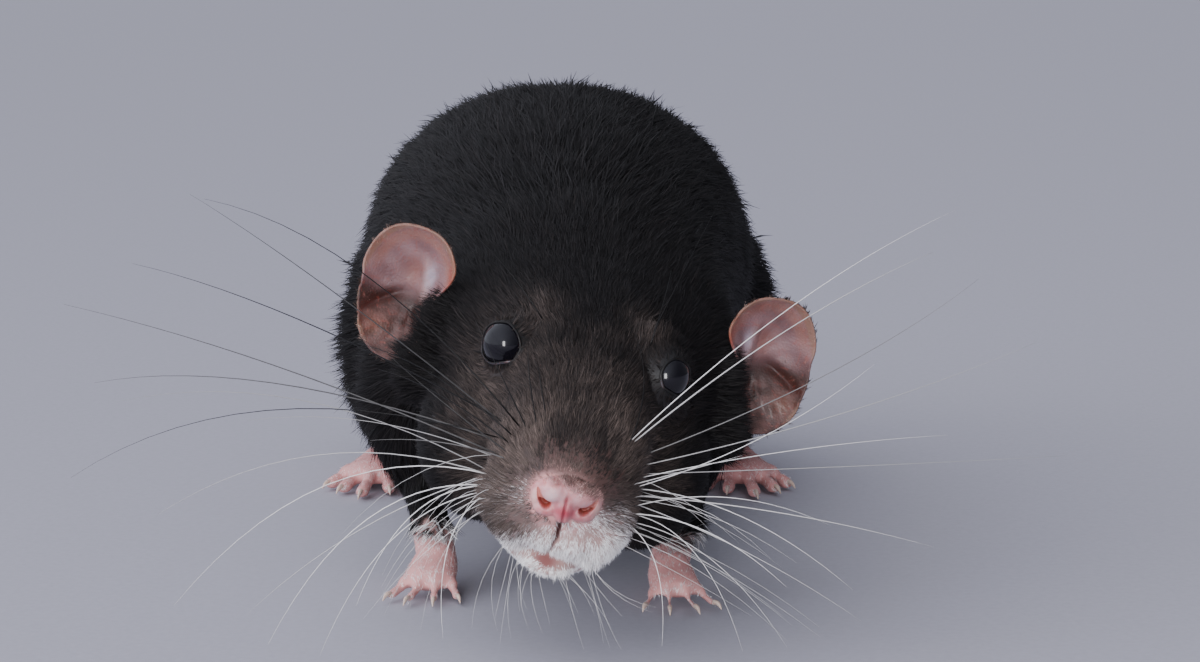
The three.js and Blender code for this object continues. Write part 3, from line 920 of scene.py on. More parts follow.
def white_share(head, points):
    """How white the coat is: lips, chin, throat and the feet."""
    wander = 0.8 * waves(head, 5, 4) + 0.4 * waves(head, 1.7, 45)
    out = head[:, 0]
    edge = np.where(out > 0, -3.2 - 0.6 * np.maximum(out - 3.5, 0), -3.3 - 0.93 * np.abs(out))
    below = head[:, 2] - edge + wander
    lips = ramp(3.2, -3.4, below) * ramp(18, 7, head[:, 1] + wander)
    grey_lip = ramp(-0.8, -3.5, out) * ramp(-12.6, -10.4, head[:, 2] + 0.5 * wander)
    lips = lips * (1 - 0.25 * grey_lip)
    flecked = 0.16 * ramp(1.5, -4.0, head[:, 2] + wander) * ramp(13, 6, head[:, 1]) * (1 - lips)
    under = ramp(-12.2, -14.2, head[:, 2] + 0.6 * wander) * ramp(26, 12, head[:, 1] + 2 * wander)
    face = np.maximum(lips + flecked + bumps(head, *BESIDE_NOSE), under)
    return np.clip(np.maximum(face, foot_share(points, wander)), 0, 1)


def foot_share(points, wander=0.0):
    """1 on the hands and feet, fading out at the wrists and heels."""
    place = on_body(points)
    outside = (np.abs(place[:, 0]) > 11) & (place[:, 1] < 78) & (place[:, 1] > -72)
    return ramp(10.5, 6.5, place[:, 2] + wander) * outside


def pink_share(head, points):
    """Where the skin shows pink through thin hair: round the nose, on the lips, and on hands and feet."""
    nose = ramp(5.5, 4.1, distance_from(head, (-0.3, 1.5, -1.5), (1.15, 1.0, 1.0)))
    nose = nose * (1 - 0.5 * ramp(-3.6, -5.0, head[:, 2]))
    return np.maximum(nose, foot_share(points))


def skin_colours(points, looks):
    head = to_head(points)
    above_nose = ramp(0.6, 2.6, head[:, 2] + 0.35 * head[:, 0]) * ramp(10, 7, head[:, 1])
    colour = tinted(
        np.tile(np.array(looks.black) * 0.6, (len(points), 1)),
        (UNDER_BROWN, brown_share(head)),
        (UNDER_WHITE, white_share(head, points)),
        (looks.pink, pink_share(head, points)),
        ("#553d38", 0.85 * above_nose),
        (MOUTH_PINK, np.minimum(1.3 * bump_at(head, MOUTH_SKIN, (1.9, 5, 0.95)), 1)),
        ("#8f3c31", ramp(0.1, 0.5, nostril_depth(head)) * ramp(5, 3.5, head[:, 1])),
        ("#43201e", np.minimum(1.5 * philtrum(head), 1) * ramp(9, 6, head[:, 1])),
    )
    for side in (1, -1):
        _, high, u, v = about_eye(head, side)
        colour = tinted(colour, (LID_BLACK, ramp(1.32, 1.12, opening_at(u, v, side)) * (high > 0)))
    back = on_body(points)[:, 1]
    tail = ramp(97, 107, back + 1.5 * waves(points, 9, 5))
    blotch = 0.5 + 0.5 * waves(points, 8, 6)
    pinker = np.clip(0.25 + 0.3 * blotch + ramp(130, 245, back) * 0.4, 0, 1)
    return mix(colour, tinted(linear(TAIL_GREY), (TAIL_PINK, pinker)), tail)


# The eyes


def eye_material():
    """The wet cornea over a black eye: near-perfect gloss, and fibres of the iris seen only close up."""
    material, tree = new_material("wet_black_eye")
    place = add_node(tree, "ShaderNodeTexCoord")
    fibres = add_node(
        tree,
        "ShaderNodeTexNoise",
        inputs={
            "Vector": place.outputs["Object"],
            "Scale": 1 / (FIBRE_WIDTH * MM),
            "Detail": 3.0,
            "Roughness": 0.6,
        },
    )
    colour = add_node(tree, "ShaderNodeValToRGB", inputs={"Fac": fibres.outputs["Fac"]})
    # the dark iris is tinted blue-grey, a faint painted reflection of the room
    colour.color_ramp.elements[0].color = rgba("#06070c")
    colour.color_ramp.elements[1].color = rgba("#141118")
    shader = add_node(
        tree,
        "ShaderNodeBsdfPrincipled",
        inputs={
            "Base Color": colour.outputs["Color"],
            "Roughness": 0.2,
            "IOR": 1.38,
            "Specular IOR Level": 0.15,
            "Coat Weight": 1.0,
            "Coat Roughness": 0.015,
            "Coat IOR": 1.38,
        },
    )
    close_material(tree, shader)
    return material


def build_eye(name):
    """The ball and the cornea that swells from its front."""
    side = SIDES[name]
    centre, facing, _, _ = eye_frame(side)
    middle = Vector(from_head(centre) * MM)
    turn = Vector(HEAD_TURN @ facing).to_track_quat("Z", "Y")
    bpy.ops.object.select_all(action="DESELECT")
    bpy.ops.mesh.primitive_uv_sphere_add(
        segments=48, ring_count=32, radius=EYE_RADIUS * MM, location=middle, rotation=turn.to_euler()
    )
    eye = bpy.context.object
    eye.name = f"eyeball_{name}"
    local = vertex_points(eye)
    local[:, 2] += CORNEA_SWELL * ramp(0.35, 1.0, local[:, 2] / EYE_RADIUS)
    set_points(eye, local)
    bpy.ops.object.transform_apply(location=True, rotation=True, scale=True)
    apply_modifier(eye, "SUBSURF", levels=1, render_levels=1)
    shade_smooth(eye)
    return eye


def lid_line(side, count, lift):
    """Points along the rim of the lids, resting on the eyeball."""
    centre, facing, along, over = eye_frame(side)
    angle = np.arange(count) * 2 * math.pi / count
    u, v = np.cos(angle), np.sin(angle)
    scale = 1 / opening_at(u, v, side)
    u, v = u * scale, v * scale
    high = np.sqrt(np.maximum((EYE_RADIUS + lift) ** 2 - u**2 - v**2, 0.04))
    return centre + u[:, None] * along + v[:, None] * over + high[:, None] * facing, angle


def build_lid_rim(name):
    """The thin wet margin of the lids, darker above, with a painted highlight along the lower lid and a
    painted glint at its inner corner.
    """
    side = SIDES[name]
    line, angle = lid_line(side, 96, 0.16)
    centre, _, axis, over = eye_frame(side)
    sides = 10
    turn = np.arange(sides) * 2 * math.pi / sides
    along = unit(np.roll(line, -1, 0) - np.roll(line, 1, 0))
    outward = unit(line - centre)
    across = np.cross(along, outward)
    radius = 0.2 + 0.02 * np.sin(angle * 5)
    rings = (
        line[:, None, :]
        + across[:, None, :] * (np.cos(turn) * 1.25)[None, :, None] * radius[:, None, None]
        + outward[:, None, :] * (np.sin(turn) * 0.75)[None, :, None] * radius[:, None, None]
    )
    verts = rings.reshape(-1, 3)
    faces = []
    for i in range(len(line)):
        k = (i + 1) % len(line)
        for j in range(sides):
            m = (j + 1) % sides
            faces.append([i * sides + j, k * sides + j, k * sides + m, i * sides + m])
    rim = new_object(f"lid_rim_{name}", from_head(verts), faces)
    face_outwards(rim)
    shade_smooth(rim)
    offset = to_head(vertex_points(rim)) - centre
    low = ramp(-0.8, -2.0, offset @ over)
    inner = ramp(-2.9, -3.3, offset @ axis)
    colour = tinted(
        np.tile(linear("#0c0908"), (len(offset), 1)),
        # painted highlight: the wet margin of the lower lid catching the light
        ("#5c525a", 0.6 * low * (np.hypot(offset @ axis, offset @ over) > 3.45)),
        # painted glint at the inner corner of the eye
        ("#7d6f74", 0.6 * inner * ramp(0.6, -0.6, offset @ over)),
    )
    paint(rim, colour)
    return rim


def moist_material(name, roughness, coat, grain):
    """Bare living skin: soft, lit from within, and wet enough to catch small bright lights."""
    material, tree = new_material(name)
    place = add_node(tree, "ShaderNodeTexCoord")
    colour = add_node(tree, "ShaderNodeVertexColor", {"layer_name": "marking"})
    cells = add_node(
        tree, "ShaderNodeTexVoronoi", inputs={"Vector": place.outputs["Object"], "Scale": 1 / (grain * MM)}
    )
    bump = add_node(
        tree,
        "ShaderNodeBump",
        inputs={"Height": cells.outputs["Distance"], "Strength": 0.5, "Distance": grain * MM * 0.35},
    )
    shader = add_node(
        tree,
        "ShaderNodeBsdfPrincipled",
        inputs={
            "Base Color": colour.outputs["Color"],
            "Normal": bump.outputs["Normal"],
            "Roughness": roughness,
            "IOR": 1.4,
            "Subsurface Weight": 0.35,
            "Subsurface Radius": (0.0012, 0.0004, 0.0003),
            "Subsurface Scale": 1.0,
            "Coat Weight": coat,
            "Coat Roughness": 0.18,
        },
    )
    close_material(tree, shader)
    return material


# The nose


NOSE_LUMPS = [
    ((0, 3.0, -0.2), (3.1, 2.6, 3.1)),
    ((0, 1.7, -2.2), (1.5, 1.7, 2.2)),
    ((2.0, 2.0, 0.3), (2.3, 2.0, 1.9)),
    ((-2.0, 2.0, 0.3), (2.3, 2.0, 1.9)),
    ((3.3, 2.7, -0.8), (1.8, 2.0, 2.2)),
    ((-3.3, 2.7, -0.8), (1.8, 2.0, 2.2)),
    ((2.5, 2.3, -2.5), (2.0, 1.8, 1.35)),
    ((-2.5, 2.3, -2.5), (2.0, 1.8, 1.35)),
]
# Each nostril from its round lower end to its thin upper one: how far out, how high and its half width
NOSTRIL_LINE = [
    (2.6, -1.7, 0.66),
    (3.0, -1.45, 0.62),
    (3.5, -0.9, 0.5),
    (3.88, -0.3, 0.36),
    (4.1, 0.25, 0.24),
]


NOSE_VOXEL = 0.13


def nostril_depth(head):
    """How far inside a nostril a point lies: 0 outside, 1 in its middle, seen from in front."""
    best = np.zeros(len(head))
    place = np.stack([np.abs(head[:, 0]), head[:, 2]], 1)
    fine = smooth_rows(NOSTRIL_LINE, np.linspace(0, 1, 24))
    for x, z, radius in fine:
        away = np.hypot(place[:, 0] - x, place[:, 1] - z) / radius
        best = np.maximum(best, ramp(1.15, 0.45, away))
    return best


def build_nose():
    """The nose pad: two wings with comma-shaped nostrils, and the cleft between them."""
    parts = [ellipsoid(centre, half, 40) for centre, half in NOSE_LUMPS]
    nose = new_object("nose_pad", *together([(from_head(verts), faces) for verts, faces in parts]))
    face_outwards(nose)
    apply_modifier(nose, "REMESH", mode="VOXEL", voxel_size=NOSE_VOXEL * MM)
    apply_modifier(nose, "SMOOTH", factor=0.6, iterations=40)
    head = to_head(vertex_points(nose))
    front = ramp(3.4, 2.2, head[:, 1])
    hole = nostril_depth(head)
    cleft = np.exp(-((head[:, 0] / 0.2) ** 2)) * ramp(0.9, -0.6, head[:, 2])
    upper = ramp(-1.75, -0.8, head[:, 2])  # the shallow upper end of each nostril
    head[:, 1] += (2.4 * hole * (1 - 0.86 * upper) + 0.45 * cleft) * front
    head[:, 1] -= 0.12 * ramp(0.0, 0.25, hole) * ramp(0.5, 0.25, hole) * front
    set_points(nose, from_head(head))
    apply_modifier(nose, "SMOOTH", factor=0.4, iterations=2)
    shade_smooth(nose)
    apart = np.abs(head)
    below = head[:, 2] < 0
    right_to_left = np.tanh(head[:, 0])  # from -1 to 1: the rat's right wing, on the lit side, is painted paler
    spots = ramp(0.25, 0.75, waves(head, 0.8, 33)) * ramp(0.4, 2.0, head[:, 2])
    top = ramp(0.9, 2.4, head[:, 2] + 0.22 * head[:, 0] + 0.3 * waves(head, 2, 34))
    crease = np.exp(-((head[:, 0] / 0.17) ** 2)) * ramp(0.7, -0.8, head[:, 2]) * front
    colour = tinted(
        linear("#c67f82"),
        ("#d59e9f", np.clip(0.5 + 0.5 * waves(head, 1.1, 31), 0, 1)),
        # painted highlight on the round upper bulb of each wing, stronger on the rat's right, the lit side
        ("#e2bfc2", (0.6 - 0.35 * right_to_left) * bump_at(apart, (2.1, 0, 0.1), (1.4, 3, 1.1))),
        ("#eac0b6", 0.85 * bump_at(apart, (4.5, 1.5, 1.4), (0.5, 3, 1.2)) * below),
        ("#a9384c", 0.9 * bump_at(head, (0, 1, -2.3), (1.9, 4, 1.2))),
        ("#d58b90", 0.6 * bump_at(apart, (1.3, 1, 3.2), (1.4, 4, 0.6)) * below),
        ("#b5533f", (0.55 + 0.2 * right_to_left) * spots),
        ("#64433c", 0.9 * top),
        ("#a23443", 0.7 * crease),
        # the red inside each nostril is its own colour; its darkening towards the middle is painted shade in
        # the hole
        ("#c05a50", 0.85 * ramp(0.02, 0.3, hole) * front),
        ("#a84c3c", ramp(0.3, 0.7, hole) * front),
        ("#83352a", ramp(0.75, 1.0, hole) * front),
        ("#c4766b", 0.9 * upper * ramp(0.1, 0.5, hole) * front),
        ("#b58079", ramp(2.6, 4.2, head[:, 1])),
    )
    # painted shade: the whole pad darker on the rat's left, the side away from the lights
    paint(nose, colour * (0.84 - 0.1 * right_to_left[:, None]))
    return nose


# The ears


EAR_HALF_WIDTH, EAR_HALF_HEIGHT, EAR_CUP, EAR_THICKNESS = 7.4, 10.3, 4.2, 0.32


def inner_edge_at(up):
    """How far the ear reaches towards the head, less below its middle."""
    return 1 - 0.36 * ramp(5.6, -0.5, up)


def ear_shape(radius, angle):
    """Places on the ear's inner face: out to its free edge, up to its tip and forward out of its cup."""
    notch = np.exp(-(((angle - 0.08) / 0.13) ** 2))
    notch = notch + 0.7 * ramp(-0.75, -0.55, angle) * ramp(0.12, -0.05, angle)
    reach = 1 - 0.075 * np.minimum(notch, 1) * ramp(0.55, 1.0, radius)
    reach = reach + 0.02 * np.sin(3 * angle + 0.6) + 0.03 * np.exp(-(((angle - 0.9) / 0.5) ** 2))
    square = (np.abs(np.cos(angle)) ** 2.25 + np.abs(np.sin(angle)) ** 2.25) ** (-1 / 2.25)
    out = EAR_HALF_WIDTH * radius * reach * square * np.cos(angle)
    up = EAR_HALF_HEIGHT * radius * reach * square * np.sin(angle)
    # below its middle the inner edge runs into the fur of the head
    out = np.where(out < 0, out * inner_edge_at(up), out)
    forward = -EAR_CUP * (1 - radius**2.1)
    crease = np.exp(-(((up + 0.4 + 0.1 * np.maximum(out, 0) ** 2) / 1.0) ** 2)) * ramp(-1.5, 3.0, out)
    forward = forward - 0.9 * crease * ramp(1.03, 0.75, radius)
    lobe = bump_at(np.stack([out, up], -1), (3.0, -5.4), (2.8, 2.6))
    forward = forward + 1.0 * lobe
    ridge = np.exp(-(((out + 2.0 - 0.12 * up) / 0.9) ** 2)) * ramp(-7, -3, up) * ramp(7, 3, up)
    forward = forward + 0.6 * ridge
    hollow = bump_at(np.stack([out, up], -1), (0.6, 3.2), (1.5, 1.9))
    forward = forward - 0.5 * hollow
    rolled = ramp(0.88, 1.0, radius) * (0.6 + 0.4 * np.cos(angle - 2.6))
    forward = forward + 0.15 * rolled
    canal = bump_at(np.stack([out, up], -1), (-2.4, -3.6), (1.4, 2.0))
    forward = forward - 2.2 * canal
    folds = 0.06 * np.sin(angle * 13 + radius * 5) * ramp(0.2, 0.5, radius) * ramp(1.0, 0.8, radius)
    folds = folds + 0.05 * np.sin(2.6 * out + 1.4 * up + 0.8 * np.sin(up)) * ramp(-1, -3.5, up)
    return out, up, forward + folds, crease, canal, ridge


def ear_frame(side):
    opening = unit(mirrored(EAR_OPENING, side))
    crown = np.array((side * -0.05, 0.2, 1.0))
    outward = unit(np.cross(crown, opening)) * side
    crown = unit(crown - opening * (crown @ opening))
    return mirrored(EAR_CENTRE, side), outward, crown, opening


def build_ear(name):
    """A thin, shallow cup with a notched outer edge, a crease, a ridge and the way in, painted with shade in
    the crease, the way in and the lower half, and with a highlight on the upper lobe.
    """
    side = SIDES[name]
    centre, outward, crown, opening = ear_frame(side)
    rings, spokes = 46, 150
    radius = (np.arange(1, rings + 1) / rings)[:, None] ** 0.9
    angle = (np.arange(spokes) * 2 * math.pi / spokes - math.pi)[None, :]
    radius, angle = np.broadcast_arrays(radius, angle)
    out, up, forward = ear_shape(radius.ravel(), angle.ravel())[:3]
    middle = ear_shape(np.zeros(1), np.zeros(1))[:3]
    local = np.vstack([np.stack([out, up, forward], 1), np.array(middle).T])
    verts = centre + local[:, :1] * outward + local[:, 1:2] * crown + local[:, 2:] * opening
    ear = new_object(f"ear_cup_{name}", from_head(verts), tube_faces(rings, spokes))
    face_outwards(ear)
    normal = ear.data.polygons[len(ear.data.polygons) // 2].normal
    if np.array(normal) @ (HEAD_TURN @ opening) < 0:
        ear.data.flip_normals()
    apply_modifier(
        ear, "SOLIDIFY", thickness=EAR_THICKNESS * MM, offset=-1, use_even_offset=False, use_rim=True
    )
    shade_smooth(ear)
    paint_ear(ear, side)
    return ear


def paint_ear(ear, side):
    centre, outward, crown, opening = ear_frame(side)
    head = to_head(vertex_points(ear))
    normals = vertex_normals(ear) @ HEAD_TURN
    offset = head - centre
    out, up = offset @ outward, offset @ crown
    _, _, _, crease, canal, ridge = ear_shape(*polar_place(out, up))
    edge = np.hypot(out / EAR_HALF_WIDTH, up / EAR_HALF_HEIGHT)
    face = np.stack([out, up], -1)
    streaks = np.clip(0.5 + 0.6 * waves(head, 2.2, 46), 0, 1)
    veins = np.abs(waves(head, 3.2, 9)) < 0.06
    back = ramp(0.2, -0.3, normals @ opening)
    colour = tinted(
        linear("#76595a"),
        ("#927475", np.clip(0.5 + 0.5 * waves(head, 4, 8), 0, 1) * 0.9),
        ("#8a5c54", 0.75 * bump_at(face, (0.6, 3.0), (1.5, 2.2))),
        # painted shade: the lower half of the cup darker, from the upper rim down to the lower lobe
        ("#38251f", 0.92 * ramp(1.5, -2.0, up)),
        ("#77442f", 0.6 * bump_at(face, (4.0, -6.0), (1.8, 1.6))),
        ("#7c5a55", 0.4 * streaks * ramp(-1.5, -4, up)),
        # painted shade in the crease
        ("#45221c", 0.8 * np.minimum(crease, 1) * ramp(0.0, 4.5, out)),
        # painted shade in the way in
        ("#2f1512", np.minimum(1.2 * canal, 1)),
        ("#c2a29c", 0.3 * np.minimum(ridge, 1)),
        # painted highlight on the wet skin of the upper lobe
        ("#b0a7b6", 0.6 * bump_at(face, (-2.4, 3.0), (0.9, 1.7))),
        ("#96634c", 0.4 * ramp(0.72, 0.86, edge) * ramp(1.0, 0.9, edge) * ramp(1, 5, up)),
        ("#8e3f2c", 0.85 * ramp(-4.5, -6.8, out) * ramp(0.0, 2.0, up) * ramp(0.7, 0.95, edge)),
        ("#8a6a57", 0.7 * ramp(0.95, 0.99, edge) * ramp(-6, 0, out + up)),
        ("#9a5044", 0.3 * veins * ramp(0.3, 0.6, edge)),
        ("#3a2b28", back * (0.92 - 0.35 * ramp(0.85, 1.0, edge))),
    )
    paint(ear, colour)


def polar_place(out, up):
    out = np.where(out < 0, out / inner_edge_at(up), out)
    radius = np.hypot(out / EAR_HALF_WIDTH, up / EAR_HALF_HEIGHT)
    return np.minimum(radius, 1.0), np.arctan2(up / EAR_HALF_HEIGHT, out / EAR_HALF_WIDTH)


# Whiskers and claws


# For each whisker: how far back its root lies and its height on the pad, then how far its tip lies out from
# the nose, up and back, as the camera sees it, how high it arches, and how dark it is
WHISKERS = {
    "right": [
        (9.5, 0.5, 72, 26, 16, 5, 0.8),
        (12.5, 2.0, 77, 2, 22, 7, 1.0),
        (15.5, 3.5, 52, 40, 40, 5, 0.9),
        (13.0, -1.5, 44, 10, 18, 4, 0.3),
        (10.0, -2.0, 54, -15, 10, 6, 0.0),
        (13.0, -3.5, 62, 12, 30, 8, 0.35),
        (8.5, -4.0, 41, -20, 4, 5, 0.0),
        (10.5, -5.5, 29, -15, 10, 4, 0.0),
        (14.5, -5.0, 57, -4, 34, 6, 0.15),
        (17.0, -1.0, 70, 14, 44, 7, 0.8),
        (7.0, -6.0, 17, -19, 1, 2, 0.0),
        (12.5, -7.5, 34, -22, 14, 4, 0.0),
        (16.5, -7.5, 44, -17, 30, 2, 0.1),
        (6.0, 1.2, 27, 8, 3, 2, 0.6),
        (7.0, 3.0, 24, 19, 8, 1, 0.9),
        (18.5, 2.5, 60, 30, 52, 4, 1.0),
    ],
    "left": [
        (12.0, 5.4, 53, 39, 14, 7, 0.0),
        (12.5, 4.6, 50, 33, 20, 6, 0.1),
        (9.5, -1.0, 42, 18, 12, 3, 0.0),
        (12.0, -0.5, 52, 8, 18, 6, 0.0),
        (14.5, 1.0, 64, 20, 34, 4, 0.2),
        (10.5, -2.5, 36, -4, 10, 4, 0.0),
        (13.5, -3.5, 39, -13, 14, 6, 0.0),
        (10.5, -5.0, 24, -21, 6, 5, 0.0),
        (7.5, -4.0, 30, -12, 2, 4, 0.0),
        (15.5, -5.5, 50, -8, 32, 5, 0.0),
        (17.0, -2.0, 68, 4, 44, 5, 0.2),
        (7.0, -6.5, 13, -20, 1, 3, 0.0),
        (12.5, -7.5, 30, -21, 16, 5, 0.0),
        (16.5, -8.0, 40, -18, 30, 4, 0.0),
        (6.5, 0.5, 24, 6, 2, 2, 0.1),
        (18.5, 1.5, 56, 28, 50, 4, 0.5),
    ],
}
# Bristles over the eyes: the root on the brow, then the tip and the arch in the same way
BROW_BRISTLES = {
    "right": [
        (8.0, 30, 15, 24, 41, 36, 3),
        (8.2, 11, 4.5, 50, 40, 26, 8),
        (7.6, 10, 5.5, 13, 24, 22, 1),
        (6.2, 10, 6.5, 5.5, 21, 18, 0),
        (5.0, 11, 7.5, 4.2, 18, 18, 0),
        (9.8, 9.5, 2.5, 26, 17, 18, 3),
        (9.2, 10, 3.5, 32, 21, 20, 4),
    ],
    "left": [(8.5, 31, 15, 21, 40, 38, -3), (9, 29, 14, 14, 30, 30, 2), (7.5, 11, 5, 9, 22, 20, 0)],
}
SHORT_WHISKERS, CHIN_HAIRS = 11, 11  # on each side
THINNEST, THICKEST = 0.075, 0.115  # radii of the long whiskers at their roots
BROW_RADIUS, SHORT_RADIUS, CHIN_RADIUS = 0.11, 0.05, 0.03
WIDEST = 78  # how far a whisker may reach to either side of the part's middle


def nearest_on(tree, place):
    """The nearest point of the skin to a place in the head's frame, and the skin's normal there."""
    location, normal, _, _ = tree.find_nearest(Vector(from_head(np.array(place, float)) * MM))
    return np.array(location) / MM, np.array(normal)


def seen_from_front(side, out, up, back):
    """A place given by how far out and up from the nose the camera sees it, and how far back it is."""
    down = math.radians(LOOK_DOWN)
    ahead = np.array((0, math.cos(down), -math.sin(down)))
    above = np.array((0, math.sin(down), math.cos(down)))
    scale = (VIEW_DISTANCE + back) / VIEW_DISTANCE
    return HEAD_ORIGIN + (np.array((side * out, 0, 0)) + above * up) * scale + ahead * back


def bristle(start, heading, tip, radius, arch, steps):
    """A tapering four-sided hair that leaves along its heading and bends to its tip."""
    reach = np.linalg.norm(tip - start)
    elbow = start + heading * reach * 0.5 + np.array((0, 0, arch))
    lowest, highest = (-WIDEST, -np.inf, 1.0), (WIDEST, np.inf, np.inf)  # over the floor, in the part's width
    tip, elbow = (np.clip(spot, lowest, highest) for spot in (tip, elbow))
    share = np.linspace(0, 1, steps + 1)[:, None]
    line = start * (1 - share) ** 2 + 2 * elbow * share * (1 - share) + tip * share**2
    along = unit(np.gradient(line, axis=0))
    across = unit(np.cross(along, (0.1, 0.2, 1)))
    over = np.cross(along, across)
    width = radius * (1 - 0.86 * share**1.3)
    turn = np.arange(4) * math.pi / 2
    rings = line[:, None] + width[:, None] * (
        across[:, None] * np.cos(turn)[None, :, None] + over[:, None] * np.sin(turn)[None, :, None]
    )
    return closed_tube(rings)


def build_whiskers(name, skin, sizes):
    """The whiskers of one pad, with finer ones between them on the lip and chin."""
    side = SIDES[name]
    rng = np.random.default_rng(SEED + side)
    tree = BVHTree.FromObject(skin, bpy.context.evaluated_depsgraph_get())
    parts, shades = [], []

    def add(root, tip, radius, arch, dark, steps):
        start, normal = nearest_on(tree, root)
        heading = unit(unit(tip - start) * 0.75 + normal * 0.6)
        tip = start + (tip - start) * sizes.whisker_length
        parts.append(bristle(start - heading * 0.8, heading, tip, radius, arch, steps))
        shades.append(np.full(len(parts[-1][0]), math.sqrt(dark)))

    for back, up, out, high, behind, arch, dark in WHISKERS[name]:
        root = (side * (8 if up > 4 else 14), back, up)
        radius = rng.uniform(THINNEST, THICKEST)
        add(root, seen_from_front(side, out, high, behind), radius, arch, dark, 14)
    for x, back, up, out, high, behind, arch in BROW_BRISTLES[name]:
        add((side * x, back, up), seen_from_front(side, out, high, behind), BROW_RADIUS, arch, 1.0, 12)
    for _ in range(SHORT_WHISKERS):
        back, up = rng.uniform(4, 15), rng.uniform(-10, -1)
        out = rng.uniform(10, 26) + back * 0.7
        high = -4 + up * rng.uniform(1.0, 2.0)
        tip = seen_from_front(side, out, high, back * rng.uniform(0.3, 1.2))
        add((side * 12, back, up), tip, SHORT_RADIUS, rng.uniform(1, 4), 0.15 * rng.random(), 7)
    for _ in range(CHIN_HAIRS):
        x, back = rng.uniform(0.3, 6), rng.uniform(3.5, 12)
        tip = seen_from_front(side, x * rng.uniform(1, 2.6), rng.uniform(-21, -14), back * 0.7)
        add((side * x, back, -13), tip, CHIN_RADIUS, 0, 0, 6)
    piece = new_object(f"whiskers_{name}", *together(parts))
    face_outwards(piece)
    shade_smooth(piece)
    dark = np.concatenate(shades)
    paint(piece, tinted(linear("#e2dfdd"), ("#0c0a0a", dark[: len(piece.data.vertices)])))
    return piece


def bristle_material():
    """Whiskers: smooth, stiff keratin, with a soft shine along each one."""
    material, tree = new_material("whisker_keratin")
    colour = add_node(tree, "ShaderNodeVertexColor", {"layer_name": "marking"})
    shader = add_node(
        tree,
        "ShaderNodeBsdfPrincipled",
        inputs={
            "Base Color": colour.outputs["Color"],
            "Roughness": 0.35,
            "IOR": 1.55,
            "Specular IOR Level": 0.25,
        },
    )
    close_material(tree, shader)
    return material


def claw_material():
    """Claws: thin translucent horn with a gloss, and flecks that break up its colour."""
    material, tree = new_material("translucent_horn")
    place = add_node(tree, "ShaderNodeTexCoord")
    flecks = add_node(
        tree,
        "ShaderNodeTexNoise",
        inputs={"Vector": place.outputs["Object"], "Scale": 1 / (FLECK_WIDTH * MM), "Detail": 2.0},
    )
    colour = add_node(tree, "ShaderNodeValToRGB", inputs={"Fac": flecks.outputs["Fac"]})
    colour.color_ramp.elements[0].color = rgba("#a88a7c")
    colour.color_ramp.elements[1].color = rgba("#e3d2c6")
    bump = add_node(
        tree,
        "ShaderNodeBump",
        inputs={"Height": flecks.outputs["Fac"], "Strength": 0.3, "Distance": 0.05 * MM},
    )
    shader = add_node(
        tree,
        "ShaderNodeBsdfPrincipled",
        inputs={
            "Base Color": colour.outputs["Color"],
            "Normal": bump.outputs["Normal"],
            "Roughness": 0.28,
            "IOR": 1.54,
            "Subsurface Weight": 0.4,
            "Subsurface Radius": (0.0006, 0.0004, 0.0003),
            "Subsurface Scale": 1.0,
        },
    )
    close_material(tree, shader)
    return material


def build_claws():
    """Four claws on each forefoot and five on each hind foot."""
    parts = []
    for name in SIDES:
        for kind, foot in FEET.items():
            for place in toe_places(kind):
                parts.append(claw_form(foot, name, place).surface(10, 10))
    claws = new_object("claws", *together(parts))
    face_outwards(claws)
    shade_smooth(claws)
    return claws


# The coat


# Where each coat piece begins and ends: the distance back from the nose on the head, then along the body
HEAD_PIECES = [
    ("coat_muzzle", -9, 14),
    ("coat_face", 14, 30),
    ("coat_crown", 30, 45),
    ("coat_nape", 45, 66),
]
BODY_PIECES = [
    ("coat_shoulders", -90, -20),
    ("coat_ribs", -20, 8),
    ("coat_flanks", 8, 34),
    ("coat_hips", 34, 60),
    ("coat_rump", 60, 300),
]
BARE_ROUND_NOSE = 3.4  # no fur grows nearer to the middle of the nose than this


def fringe_at(head, side):
    """Where the fur leans out over the ear's inner edge."""
    return bump_at(head, mirrored((22.0, 45.2, 1.5), side), (3.0, 3.4, 8.0))


def bare_in_ear(head, side):
    """Where the skin under the ear's cup grows no fur, up to the fringe along its inner edge."""
    centre, outward, _, opening = ear_frame(side)
    offset = head - centre
    fringe_end = -4.6 + 3 * ramp(-3, -8, offset[:, 2]) - 1.2 * ramp(0.5, 3, offset[:, 2])
    in_cup = np.linalg.norm(offset + opening * 2.0, axis=1) < 7.5
    return in_cup & (offset @ outward > fringe_end) & (offset @ opening > -4.5)


LONGER_ON_MUZZLE = [
    (-0.9, (-1, 6, -14.6), (7, 5, 2.0)),
    (0.25, (0, 2.5, -5.0), (4.5, 3, 1.6)),
    (0.6, (-10, 10, -6), (3, 4, 4)),
]


